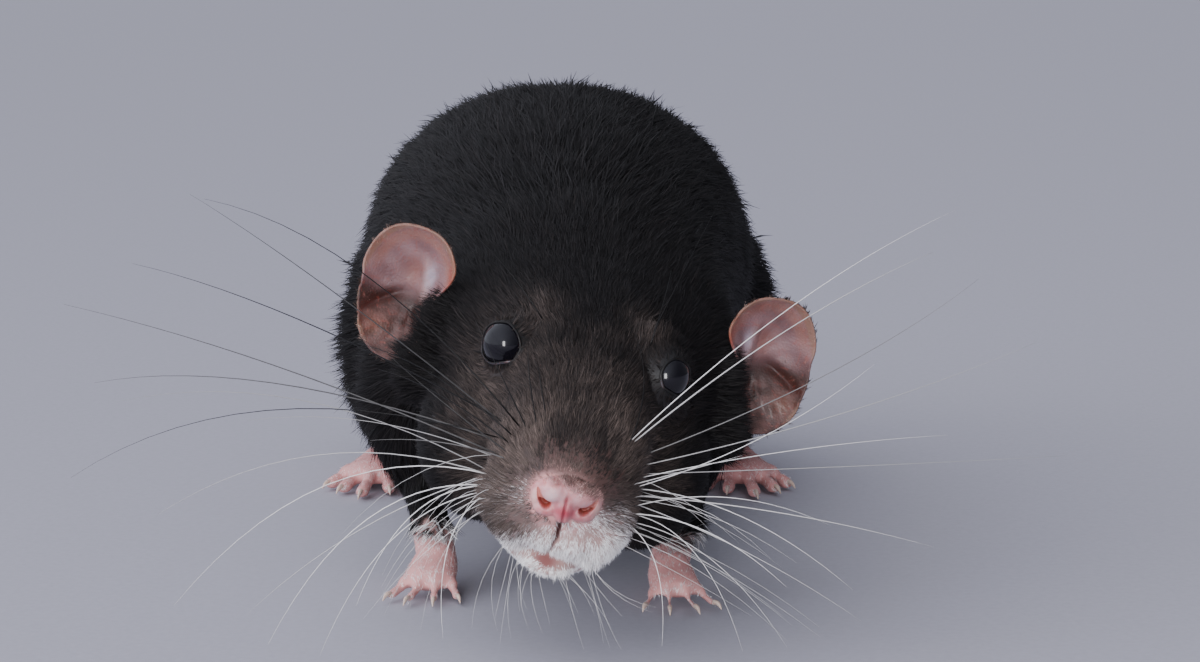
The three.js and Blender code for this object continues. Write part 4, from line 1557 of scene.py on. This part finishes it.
def coat_at(points, normals):
    """The coat's length, width, lift, number to the square millimetre and lie at places on the skin."""
    head = to_head(points)
    back = head[:, 1]
    from_nose = distance_from(head, (0, 1.8, -0.3), (1.1, 1.0, 0.95))

    length = 0.6 + 1.5 * ramp(3.5, 12, from_nose) + 1.5 * ramp(16, 44, back) + 5.6 * ramp(48, 84, back)
    under_jaw = ramp(-11.5, -13, head[:, 2]) * ramp(22, 8, back)
    lips = ramp(-3, -6, head[:, 2]) * ramp(12, 7, back)
    length = length - (0.35 * np.maximum(under_jaw, lips) + 0.3 * under_jaw) * ramp(3, 7, from_nose)
    over_mouth = bumps(head, (1, (3.8, 4, -10.3), (2.2, 4, 1.2)), (1, (-4.8, 4, -11.0), (2.0, 4, 1.2)))
    length = length + 0.6 * over_mouth + bumps(head, *LONGER_ON_MUZZLE)
    width = 0.05 - 0.008 * lips + 0.02 * ramp(6, 14, from_nose)
    width = width + 0.03 * ramp(12, 46, back) + 0.09 * ramp(48, 84, back)
    lift = 0.24 + 0.1 * ramp(14, 5, from_nose) - 0.04 * ramp(50, 80, back)
    lift = lift - 0.15 * np.maximum(lips, under_jaw) + 0.2 * over_mouth
    number = 36 - 8 * ramp(12, 34, back) - 18.5 * ramp(42, 78, back)
    number = number + 18 * lips - 6 * ramp(6.0, 3.5, from_nose)

    place = on_body(points)
    leg = ramp(30, 14, place[:, 2]) * (np.abs(place[:, 0]) > 12) * ramp(58, 70, back)
    foot = foot_share(points)
    belly = ramp(-0.4, -0.8, normals[:, 2]) * ramp(60, 75, back)
    tail = ramp(92, 108, place[:, 1])
    length = mix_number(length, 3.6 - 1.8 * ramp(17, 10, place[:, 2]), leg)
    length = mix_number(length, 0.9, foot)
    length = mix_number(length, 6.0, belly * (1 - leg))
    length = mix_number(length, 1.8, tail)
    width = mix_number(mix_number(mix_number(width, 0.16, leg), 0.036, foot), 0.08, tail)
    lift = mix_number(lift, 0.3, tail)
    number = mix_number(mix_number(number, 9.0, leg), 15.0, foot) * (1 - 0.3 * belly)
    number = mix_number(number, 1.3, tail)

    sole = foot * (normals[:, 2] < -0.2)
    bare = (from_nose < BARE_ROUND_NOSE) | (sole > 0.3) | (points[:, 2] < 0.6)
    for side in (1, -1):
        offset, high, u, v = about_eye(head, side)
        away = np.linalg.norm(offset, axis=1)
        bare |= (opening_at(u, v, side) < 1.02) & (high > -1) & (away < 6)
        near = np.exp(-((away / 5.5) ** 4))
        length = length * (1 - 0.66 * near)
        lift = lift * (1 - 0.5 * near)
        length = length - 0.2 * fringe_at(head, side)
        lift = lift + 0.3 * fringe_at(head, side)
        bare |= bare_in_ear(head, side)
    at_mouth = bump_at(head, MOUTH_SKIN, (1.9, 4, 0.9))
    number = number * (1 - 0.3 * ramp(0.3, 0.8, at_mouth))
    number = number * (1 - ramp(0.08, 0.32, philtrum(head)) * ramp(9, 6, back))
    number = np.where(bare, 0, number)

    lie = coat_lie(points, head, leg, foot, tail)
    return length, width, lift, number, laid_flat(lie, normals)


def coat_lie(points, head, leg, foot, tail):
    """The way the coat lies: away from the nose, round the eyes, back along the body, down the legs."""
    outwards = unit(head - np.array((0, -2.5, -0.5)))
    backwards = np.tile((0.0, 1.0, -0.12), (len(head), 1))
    backwards[:, 0] = 0.012 * head[:, 0]
    backwards[:, 2] -= 0.25 * ramp(3, -8, head[:, 2])
    lie = mix(outwards, backwards, ramp(8, 22, head[:, 1]))
    down = ramp(-5, -9, head[:, 2]) * ramp(14, 6, head[:, 1])
    lie = mix(lie, (0.0, 0.15, -1.0), 0.5 * down)
    for side in (1, -1):
        offset, high, _, _ = about_eye(head, side)
        radial = unit(offset - eye_frame(side)[1] * high[:, None])
        lie = lie + np.array((side * 2.6, -0.3, 0.5)) * fringe_at(head, side)[:, None]
        lie = lie + 2.2 * radial * np.exp(-((np.linalg.norm(offset, axis=1) / 5.0) ** 4))[:, None]
    lie = lie @ HEAD_TURN.T
    place = on_body(points)
    side = np.sign(place[:, 0])
    along = np.stack([0.05 * side, np.ones(len(place)), -0.3 * np.ones(len(place))], 1)
    along[:, 2] -= 0.5 * ramp(28, 84, place[:, 1]) * ramp(40, 15, place[:, 2])
    lie = mix(lie, along, ramp(44, 72, head[:, 1]))
    down_leg = np.stack([0 * side, np.where(place[:, 1] > -6, 0.5, -0.45), -np.ones(len(place))], 1)
    lie = mix(lie, down_leg, leg * 0.9)
    lie = mix(lie, (0.0, -1.0, -0.1), foot)
    return mix(lie, (0.0, 1.0, -0.1), tail)


def sample_skin(skin):
    """The skin's triangles: corners, corner normals, areas, middles and mean normals."""
    mesh = skin.data
    mesh.calc_loop_triangles()
    corners = np.empty(len(mesh.loop_triangles) * 3, np.int32)
    mesh.loop_triangles.foreach_get("vertices", corners)
    corners = corners.reshape(-1, 3)
    points, normals = vertex_points(skin), vertex_normals(skin)
    spots = points[corners]
    cross = np.cross(spots[:, 1] - spots[:, 0], spots[:, 2] - spots[:, 0])
    area = np.linalg.norm(cross, axis=1) / 2
    return spots, normals[corners], area, spots.mean(1), unit(normals[corners].mean(1))


def piece_of(points, head):
    """Which coat piece each place belongs to."""
    chosen = np.full(len(points), -1)
    for index, (_, low, high) in enumerate(HEAD_PIECES):
        chosen[(head[:, 1] >= low) & (head[:, 1] < high)] = index
    last = HEAD_PIECES[-1][2]
    for index, (_, low, high) in enumerate(BODY_PIECES):
        along = on_body(points)[:, 1]
        inside = (head[:, 1] >= last) & (along >= low) & (along < high)
        chosen[inside] = len(HEAD_PIECES) + index
    return chosen


def coat_colours(looks, points, head, rng, shade):
    """Each strand's colour: black, grey-brown or white, in the skin's own markings."""
    brown, white = brown_share(head), white_share(head, points)
    wander = rng.normal(0, 0.2, len(head)) * np.minimum(0.1 + 2 * brown, 1)
    colour = mix(looks.black, looks.brown, np.clip(brown + wander, 0, 1))
    close = ramp(6.0, 4.0, distance_from(head, (-0.6, 1.8, -0.9), (1.15, 1.0, 1.0)))
    close = close * ramp(-3.2, -1.6, head[:, 2]) * ramp(4.6, 2.4, head[:, 2] + 0.45 * head[:, 0])
    pink = 0.7 * close * ramp(-0.5, 0.5, close - 0.5 + rng.normal(0, 0.35, len(head)))
    colour = tinted(colour, ("#94736e", pink))
    unsure = 4 * white * (1 - white)  # strands of either colour stand side by side where the two meet
    pale = ramp(-0.32, 0.32, white - 0.5 + rng.normal(0, 0.2, len(head)) * unsure)
    colour = mix(colour, looks.white, pale * np.minimum(0.5 + 0.8 * white, 1))
    return colour * (shade ** (1 + 0.3 * pale) * (1 + 0.12 * pale))[:, None]


MOST_STRANDS = 66_000  # in one piece, with three triangles to a strand
STRANDS_IN_LOCK = 6
STRAY_SHARE = 0.012  # of the strands stand off further than the rest
SUNK_ROOT = 0.12  # how deep a strand starts under the skin
LOWEST_HAIR = 0.15  # over the floor


def roots_on(spots, corner_normals, weight, count, rng):
    """Random places on triangles, as many on each as its weight asks for, and the normals there."""
    pick = np.searchsorted(np.cumsum(weight) / weight.sum(), rng.random(count))
    a, b = rng.random(count), rng.random(count)
    flip = a + b > 1
    a[flip], b[flip] = 1 - a[flip], 1 - b[flip]
    share = np.stack([1 - a - b, a, b], 1)[:, :, None]
    return (spots[pick] * share).sum(1), unit((corner_normals[pick] * share).sum(1))


def build_coat(skin, looks):
    """The coat as thin blades in locks of six, which lie over one another along the body."""
    rng = np.random.default_rng(SEED)
    spots, corner_normals, area, middle, mean_normal = sample_skin(skin)
    number = coat_at(middle, mean_normal)[3]
    chosen = piece_of(middle, to_head(middle))
    made = []

    def colours(*places):
        return coat_colours(looks, *places)

    for index, (name, _, _) in enumerate(HEAD_PIECES + BODY_PIECES):
        weight = np.where(chosen == index, number * area, 0) * looks.density
        strands = min(int(weight.sum()), MOST_STRANDS)
        root, normal = roots_on(spots, corner_normals, weight, strands // STRANDS_IN_LOCK, rng)
        length, width, lift, _, lie = coat_at(root, normal)
        growth = length * looks.length, width, lift, lie
        made.append(grow_locks(name, root, normal, growth, colours, rng))
    made.append(build_ear_down(rng))
    made.append(build_nose_down(rng))
    return made


def build_ear_down(rng):
    """Short dark hair on the backs of the ears, and sparse pale down inside their edges."""
    grown = []
    for name, side in SIDES.items():
        centre, outward, crown, opening = ear_frame(side)
        spots, corner_normals, area, middle, mean_normal = sample_skin(bpy.data.objects[f"ear_cup_{name}"])
        offset = to_head(middle) - centre
        edge = np.hypot(offset @ outward / EAR_HALF_WIDTH, offset @ crown / EAR_HALF_HEIGHT)
        behind = (mean_normal @ HEAD_TURN) @ opening < -0.1
        weight = area * np.where(behind, 15.0, 3.0 * ramp(0.72, 0.95, edge))
        root, normal = roots_on(spots, corner_normals, weight, int(weight.sum()) // STRANDS_IN_LOCK, rng)
        offset = to_head(root) - centre
        tipwards = (offset @ outward)[:, None] * outward + (offset @ crown + 7)[:, None] * crown
        behind = (normal @ HEAD_TURN) @ opening < -0.1
        grown.append((root, normal, unit(tipwards) @ HEAD_TURN.T, behind))
    root, normal, lie, behind = (np.concatenate(values) for values in zip(*grown))
    lie = laid_flat(lie, normal)
    growth = np.where(behind, 1.0, 0.5), np.where(behind, 0.07, 0.03), np.where(behind, 0.2, 0.4), lie

    def colours(points, head, rng, shade):
        dark = tinted(linear("#241c1a"), ("#54453f", rng.random(len(points)) ** 2))
        on_back = np.repeat(behind, STRANDS_IN_LOCK)[:, None]
        return np.where(on_back, dark, linear("#a98c80")) * shade[:, None]

    return grow_locks("coat_ears", root, normal, growth, colours, rng)


def build_nose_down(rng):
    """Fine brownish down that hides where the top of the nose pad meets the fur."""
    spots, corner_normals, area, middle, _ = sample_skin(bpy.data.objects["nose_pad"])

    def height(head):
        return head[:, 2] + 0.24 * head[:, 0] + 0.3 * waves(head, 1.6, 47)

    head = to_head(middle)
    weight = area * 110 * ramp(0.5, 1.9, height(head)) * ramp(5.0, 3.8, head[:, 1])
    root, normal = roots_on(spots, corner_normals, weight, int(weight.sum()) // STRANDS_IN_LOCK, rng)
    head = to_head(root)
    lie = laid_flat(unit(head - (0, 0.2, -2.0)) @ HEAD_TURN.T, normal)
    size = np.ones(len(root))
    growth = 0.42 + 0.4 * ramp(1.2, 3.2, height(head)), size * 0.04, size * 0.5, lie

    def colours(points, head, rng, shade):
        pink = np.clip(ramp(3.0, 0.6, height(head)) + rng.normal(0, 0.25, len(points)), 0, 1)
        return tinted(linear(UNDER_BROWN), ("#bd9590", pink)) * shade[:, None]

    return grow_locks("coat_nose", root, normal, growth, colours, rng)


def grow_locks(name, root, normal, growth, colours, rng):
    """Blades of three triangles: a root, a bend and a tip, several to a lock and closing towards its tip."""
    length, width, lift, lie = growth
    locks, each = len(root), STRANDS_IN_LOCK
    across = unit(np.cross(normal, lie))
    sway = 0.16 * waves(root, 9, 21) + 0.12 * waves(root, 3.1, 22) + rng.normal(0, 0.07, locks)
    lie = unit(lie + across * sway[:, None])
    lock_length = length * np.exp(rng.normal(0, 0.12, locks))

    def spread(values):
        return np.repeat(values, each, axis=0)

    count = locks * each
    normal, lie, across = spread(normal), spread(lie), spread(np.cross(normal, lie))
    size = spread(lock_length) * np.exp(rng.normal(0, 0.1, count))
    wide = spread(width) * rng.uniform(0.75, 1.25, count)
    gather = spread(0.10 + 0.07 * length)
    side_step, forward_step = rng.normal(0, 1, count) * gather, rng.normal(0, 1.6, count) * gather
    start = spread(root) + across * side_step[:, None] + lie * forward_step[:, None]
    angle = spread(lift) * np.exp(rng.normal(0, 0.22, count))
    stray = rng.random(count) < STRAY_SHARE
    angle = np.where(stray, angle * 1.7, angle)
    close = 0.35 * side_step / np.maximum(size, 0.3)
    heading = unit(lie - across * close[:, None] + across * rng.normal(0, 0.05, count)[:, None])
    first = heading * np.cos(1.5 * angle)[:, None] + normal * np.sin(1.5 * angle)[:, None]
    second = heading * np.cos(0.45 * angle)[:, None] + normal * np.sin(0.45 * angle)[:, None]
    start = start - normal * SUNK_ROOT
    bend = start + first * (size * 0.45)[:, None]
    tip = bend + second * (size * 0.58)[:, None]
    roll = rng.normal(0, 0.45, count)
    flat = unit(np.cross(first, normal)) * np.cos(roll)[:, None] + normal * np.sin(roll)[:, None]
    half = flat * (wide / 2)[:, None]
    for part in (start, bend, tip):
        part[:, 2] = np.maximum(part[:, 2], LOWEST_HAIR)
    verts = np.stack([start + half * 0.9, start - half * 0.9, bend + half, bend - half, tip], 1)

    faces = np.array([[0, 1, 3], [0, 3, 2], [2, 3, 4]])
    corner = np.cross(verts[:, 1] - verts[:, 0], verts[:, 3] - verts[:, 0])
    turned = (corner * normal).sum(1) < 0
    order = np.where(turned[:, None, None], faces[:, ::-1], faces) + (np.arange(count) * 5)[:, None, None]
    piece = mesh_from_arrays(name, verts.reshape(-1, 3), order.reshape(-1, 3))

    head = to_head(spread(root))
    shade = spread(np.exp(rng.normal(0, 0.16, locks))) * np.exp(rng.normal(0, 0.2, count))
    colour = colours(spread(root), head, rng, shade)
    # each strand darker at its root, painted shade deep in the coat, and paler at its tip
    along = np.array([0.5, 0.5, 1.0, 1.0, 1.35])
    paint(piece, np.clip(colour[:, None] * along[None, :, None], 0, 1).reshape(-1, 3))
    lay_patches(piece, spread(root), head, order.reshape(-1))
    return piece


def mesh_from_arrays(name, verts, triangles):
    """A mesh of many triangles, made at once."""
    mesh = bpy.data.meshes.new(name)
    mesh.vertices.add(len(verts))
    mesh.vertices.foreach_set("co", (verts * MM).astype(np.float32).ravel())
    mesh.loops.add(triangles.size)
    mesh.loops.foreach_set("vertex_index", triangles.astype(np.int32).ravel())
    mesh.polygons.add(len(triangles))
    mesh.polygons.foreach_set("loop_start", np.arange(0, triangles.size, 3, dtype=np.int32))
    mesh.update(calc_edges=True)
    mesh.validate()
    obj = bpy.data.objects.new(name, mesh)
    bpy.context.scene.collection.objects.link(obj)
    return obj


SPINE_HEIGHT = 38  # the middle of the body over the floor
PATCH_SIZE = 0.003  # of the width of the map


def lay_patches(piece, root, head, corners):
    """The OFBake map: each strand is a small patch at its root's place on the skin rolled out flat."""
    on_head = head[:, 1] < HEAD_PIECES[-1][2]
    place = on_body(root)
    round_body = np.arctan2(place[:, 0], place[:, 2] - SPINE_HEIGHT)
    around = np.where(on_head, np.arctan2(head[:, 0], head[:, 2]), round_body)
    from_nose = np.linalg.norm(head, axis=1)
    along = np.where(on_head, from_nose, place[:, 1])
    along = (along - along.min()) / max(float(np.ptp(along)), 1e-6)
    margin = np.array((0.003, 0.005))
    middle = margin + np.stack([around / (2 * math.pi) + 0.5, along], 1) * (1 - 2 * margin)
    patch = np.array([(-0.5, -0.5), (0.5, -0.5), (-0.5, 0.0), (0.5, 0.0), (0.0, 0.5)]) * PATCH_SIZE
    places = (middle[:, None] + patch[None]).reshape(-1, 2)
    layer = piece.data.uv_layers.new(name="OFBake")
    layer.data.foreach_set("uv", places[corners].astype(np.float32).ravel())


# The floor, the lights and the camera


def stage_material():
    """Matt grey paper board: no gloss, with a grain too faint to draw the eye."""
    material, tree = new_material("matt_grey_paper")
    place = add_node(tree, "ShaderNodeTexCoord")
    grain = add_node(
        tree,
        "ShaderNodeTexNoise",
        inputs={"Vector": place.outputs["Object"], "Scale": 1 / (PAPER_GRAIN * MM), "Detail": 2.0},
    )
    colour = add_node(tree, "ShaderNodeValToRGB", inputs={"Fac": grain.outputs["Fac"]})
    colour.color_ramp.elements[0].color = rgba("#9d9ba6")
    colour.color_ramp.elements[1].color = rgba("#a9a7b2")
    shader = add_node(
        tree, "ShaderNodeBsdfPrincipled", inputs={"Base Color": colour.outputs["Color"], "Roughness": 0.9}
    )
    close_material(tree, shader)
    return material


FLOOR_RADIUS, UNDER_FEET = 9.0, 0.0002  # in metres: far past the view, and clear of the soles


def build_floor():
    """A wide level floor, whose far edge is out of sight."""
    bpy.ops.object.select_all(action="DESELECT")
    bpy.ops.mesh.primitive_circle_add(
        vertices=96, radius=FLOOR_RADIUS, fill_type="NGON", location=(0, 0, -UNDER_FEET)
    )
    floor = bpy.context.object
    floor.name = "floor"
    bpy.ops.object.transform_apply(location=True, rotation=True, scale=True)
    floor.data.materials.append(stage_material())


def add_light(name, place, target, size, power, colour):
    data = bpy.data.lights.new(name, "AREA")
    data.shape = "RECTANGLE"
    data.size, data.size_y = size
    data.energy = power
    data.color = colour
    light = bpy.data.objects.new(name, data)
    light.location = place
    light.rotation_euler = (Vector(target) - Vector(place)).to_track_quat("-Z", "Y").to_euler()
    bpy.context.scene.collection.objects.link(light)
    return light


def add_camera(stage):
    """Looks slightly down on the nose from in front, as near as a portrait lens would be."""
    down = stage.look_down
    distance = stage.distance / MM
    across, up = np.array(FRAME_MIDDLE) * POINT_SIZE
    above = np.array((0, math.sin(down), math.cos(down)))
    aim = HEAD_ORIGIN + np.array((across, 0, 0)) + above * up
    place = aim + distance * np.array((0, -math.cos(down), math.sin(down)))
    data = bpy.data.cameras.new("camera")
    data.sensor_width = 36
    data.lens = distance / POINT_SIZE / FRAME_WIDTH * data.sensor_width
    data.clip_start = 0.01
    camera = bpy.data.objects.new("camera", data)
    camera.location = place * MM
    camera.rotation_euler = (math.pi / 2 - down, 0, 0)
    bpy.context.scene.collection.objects.link(camera)
    bpy.context.scene.camera = camera


def light_stage(stage):
    """A small softbox in front, a large one to the side, even daylight, and a room brighter on one side."""
    world = bpy.data.worlds.new("soft_room")
    world.use_nodes = True
    tree = world.node_tree
    place = add_node(tree, "ShaderNodeTexCoord")
    towards = add_node(
        tree,
        "ShaderNodeVectorMath",
        {"operation": "DOT_PRODUCT"},
        {0: place.outputs["Generated"], 1: tuple(unit((-0.85, -0.35, 0.3)))},
    )
    strength = add_node(
        tree,
        "ShaderNodeMapRange",
        {"interpolation_type": "SMOOTHSTEP"},
        {
            "Value": towards.outputs["Value"],
            "From Min": -0.6,
            "From Max": 1.0,
            "To Min": 0.32 * stage.fill,
            "To Max": 2.8 * stage.fill,
        },
    )
    background = tree.nodes["Background"]
    background.inputs["Color"].default_value = (0.78, 0.82, 0.94, 1)
    tree.links.new(strength.outputs["Result"], background.inputs["Strength"])
    bpy.context.scene.world = world
    nose = HEAD_ORIGIN * MM
    face = nose + (0, 0.03, 0.015)
    warm, cool = (1, 0.98, 0.99), (0.9, 0.92, 1)
    add_light("key_softbox", face + (-0.05, -0.62, 0.07), face, (0.12, 0.3), stage.key, warm)
    side = add_light("side_softbox", face + (-0.9, -0.5, 0.35), face, (0.9, 0.7), stage.key * 2.1, cool)
    sun = bpy.data.lights.new("daylight", "SUN")
    sun.energy = stage.daylight
    sun.color = (0.98, 0.97, 1.0)
    sun.angle = math.radians(80)
    light = bpy.data.objects.new("daylight", sun)
    light.rotation_euler = Vector((0.45, 0.5, -1.0)).to_track_quat("-Z", "Y").to_euler()
    bpy.context.scene.collection.objects.link(light)
    for soft in (side, light):  # their outlines would show in the eyes
        soft.visible_glossy = False


# The add-on


def colour_property(name, description, hex_colour):
    return bpy.props.FloatVectorProperty(
        name=name, description=description, default=tuple(linear(hex_colour)), subtype="COLOR", min=0, max=1
    )


class RatHeadSizes(bpy.types.PropertyGroup):
    """Sizes of the head's own pieces."""

    whisker_length: bpy.props.FloatProperty(
        name="Whisker length",
        description="Length of the whiskers against their usual one",
        default=1.0,
        min=0.2,
        max=1.0,
        subtype="FACTOR",
    )


class RatCoatLooks(bpy.types.PropertyGroup):
    """How the coat grows, and the main colours of hair and bare skin."""

    black: colour_property("Black", "Colour of the guard hairs", "#100e0f")
    brown: colour_property("Brown", "Colour that the hair fades to on the muzzle", "#62554f")
    white: colour_property("White", "Colour of the hair on the lips and chin", "#faf3f4")
    pink: colour_property("Pink", "Colour of the bare skin on the feet and round the nose", "#cf9592")
    density: bpy.props.FloatProperty(
        name="Density",
        description="Number of strands against the usual one",
        default=1.0,
        min=0.1,
        max=1.2,
        subtype="FACTOR",
    )
    length: bpy.props.FloatProperty(
        name="Length",
        description="Length of the coat against the usual one",
        default=1.0,
        min=0.5,
        max=1.2,
        subtype="FACTOR",
    )


class RatStageSizes(bpy.types.PropertyGroup):
    """The camera's place and the strength of the lights."""

    look_down: bpy.props.FloatProperty(
        name="Look down",
        description="Angle by which the camera looks down",
        default=math.radians(LOOK_DOWN),
        min=0,
        max=math.radians(60),
        subtype="ANGLE",
    )
    distance: bpy.props.FloatProperty(
        name="Distance",
        description="From the camera to the nose",
        default=VIEW_DISTANCE * MM,
        min=0.2,
        unit="LENGTH",
    )
    key: bpy.props.FloatProperty(
        name="Key light", description="Power of the main softbox", default=2.8, min=0, unit="POWER"
    )
    daylight: bpy.props.FloatProperty(
        name="Daylight", description="Strength of the even light", default=1.15, min=0
    )
    fill: bpy.props.FloatProperty(
        name="Fill light", description="Strength of the light all round", default=0.55, min=0
    )


class RAT_OT_skin(bpy.types.Operator):
    """One closed skin over the head, body, legs, feet and tail"""

    bl_idname = "rat.skin"
    bl_label = "Skin"

    def execute(self, context):
        skin = build_skin()
        paint(skin, skin_colours(vertex_points(skin), context.scene.rat_coat))
        finish_piece(skin, skin_material(), SKIN_REPLACES)
        return {"FINISHED"}


class RAT_OT_eyes(bpy.types.Operator):
    """Both eyeballs and the rims of their lids"""

    bl_idname = "rat.eyes"
    bl_label = "Eyes"

    def execute(self, context):
        wet, rim = eye_material(), moist_material("wet_lid_margin", 0.5, 0.1, LID_GRAIN)
        for name in SIDES:
            finish_piece(build_eye(name), wet, [f"eye_{name}"])
            finish_piece(build_lid_rim(name), rim)
        return {"FINISHED"}


class RAT_OT_nose(bpy.types.Operator):
    """The moist nose pad with its nostrils"""

    bl_idname = "rat.nose"
    bl_label = "Nose"

    def execute(self, context):
        moist = moist_material("moist_nose_skin", 0.38, 0.25, NOSE_GRAIN)
        finish_piece(build_nose(), moist, ["nose"])
        return {"FINISHED"}


class RAT_OT_ears(bpy.types.Operator):
    """Both thin ears"""

    bl_idname = "rat.ears"
    bl_label = "Ears"

    def execute(self, context):
        thin = moist_material("thin_ear_skin", 0.5, 0.12, EAR_GRAIN)
        for name in SIDES:
            finish_piece(build_ear(name), thin, [f"ear_{name}"])
        return {"FINISHED"}


class RAT_OT_whiskers(bpy.types.Operator):
    """The whiskers of both pads, the brow bristles and the chin's fine hairs"""

    bl_idname = "rat.whiskers"
    bl_label = "Whiskers"

    def execute(self, context):
        keratin = bristle_material()
        skin = bpy.data.objects["skin"]
        for name in SIDES:
            piece = build_whiskers(name, skin, context.scene.rat_head)
            finish_piece(piece, keratin, [f"whisker_pad_{name}"])
        return {"FINISHED"}


class RAT_OT_claws(bpy.types.Operator):
    """The eighteen claws"""

    bl_idname = "rat.claws"
    bl_label = "Claws"

    def execute(self, context):
        finish_piece(build_claws(), claw_material())
        return {"FINISHED"}


class RAT_OT_coat(bpy.types.Operator):
    """The whole coat, in pieces from the muzzle to the rump"""

    bl_idname = "rat.coat"
    bl_label = "Coat"

    def execute(self, context):
        hair = fur_material()
        for piece in build_coat(bpy.data.objects["skin"], context.scene.rat_coat):
            finish_piece(piece, hair)
        return {"FINISHED"}


class RAT_OT_stage(bpy.types.Operator):
    """The floor, the lights and the camera"""

    bl_idname = "rat.stage"
    bl_label = "Stage"

    def execute(self, context):
        build_floor()
        light_stage(context.scene.rat_stage)
        add_camera(context.scene.rat_stage)
        return {"FINISHED"}


STEPS = [
    RAT_OT_skin,
    RAT_OT_eyes,
    RAT_OT_nose,
    RAT_OT_ears,
    RAT_OT_whiskers,
    RAT_OT_claws,
    RAT_OT_coat,
    RAT_OT_stage,
]
GROUPS = {"rat_head": RatHeadSizes, "rat_coat": RatCoatLooks, "rat_stage": RatStageSizes}


class RAT_PT_pieces(bpy.types.Panel):
    """Lists the rat's pieces and their sizes"""

    bl_idname = "RAT_PT_pieces"
    bl_label = "Domestic rat"
    bl_space_type = "VIEW_3D"
    bl_region_type = "UI"
    bl_category = "Rat"

    def draw(self, context):
        for step in STEPS:
            self.layout.operator(step.bl_idname)
        for name, group in GROUPS.items():
            box = self.layout.box()
            for key in group.__annotations__:
                box.prop(getattr(context.scene, name), key)


def register():
    for group in GROUPS.values():
        bpy.utils.register_class(group)
    for step in STEPS + [RAT_PT_pieces]:
        bpy.utils.register_class(step)
    for name, group in GROUPS.items():
        setattr(bpy.types.Scene, name, bpy.props.PointerProperty(type=group))


def unregister():
    for name in GROUPS:
        delattr(bpy.types.Scene, name)
    for step in [RAT_PT_pieces] + STEPS[::-1]:
        bpy.utils.unregister_class(step)
    for group in GROUPS.values():
        bpy.utils.unregister_class(group)


def main():
    register()
    for step in STEPS:
        getattr(bpy.ops.rat, step.bl_idname.removeprefix("rat."))()


if __name__ == "__main__":
    main()
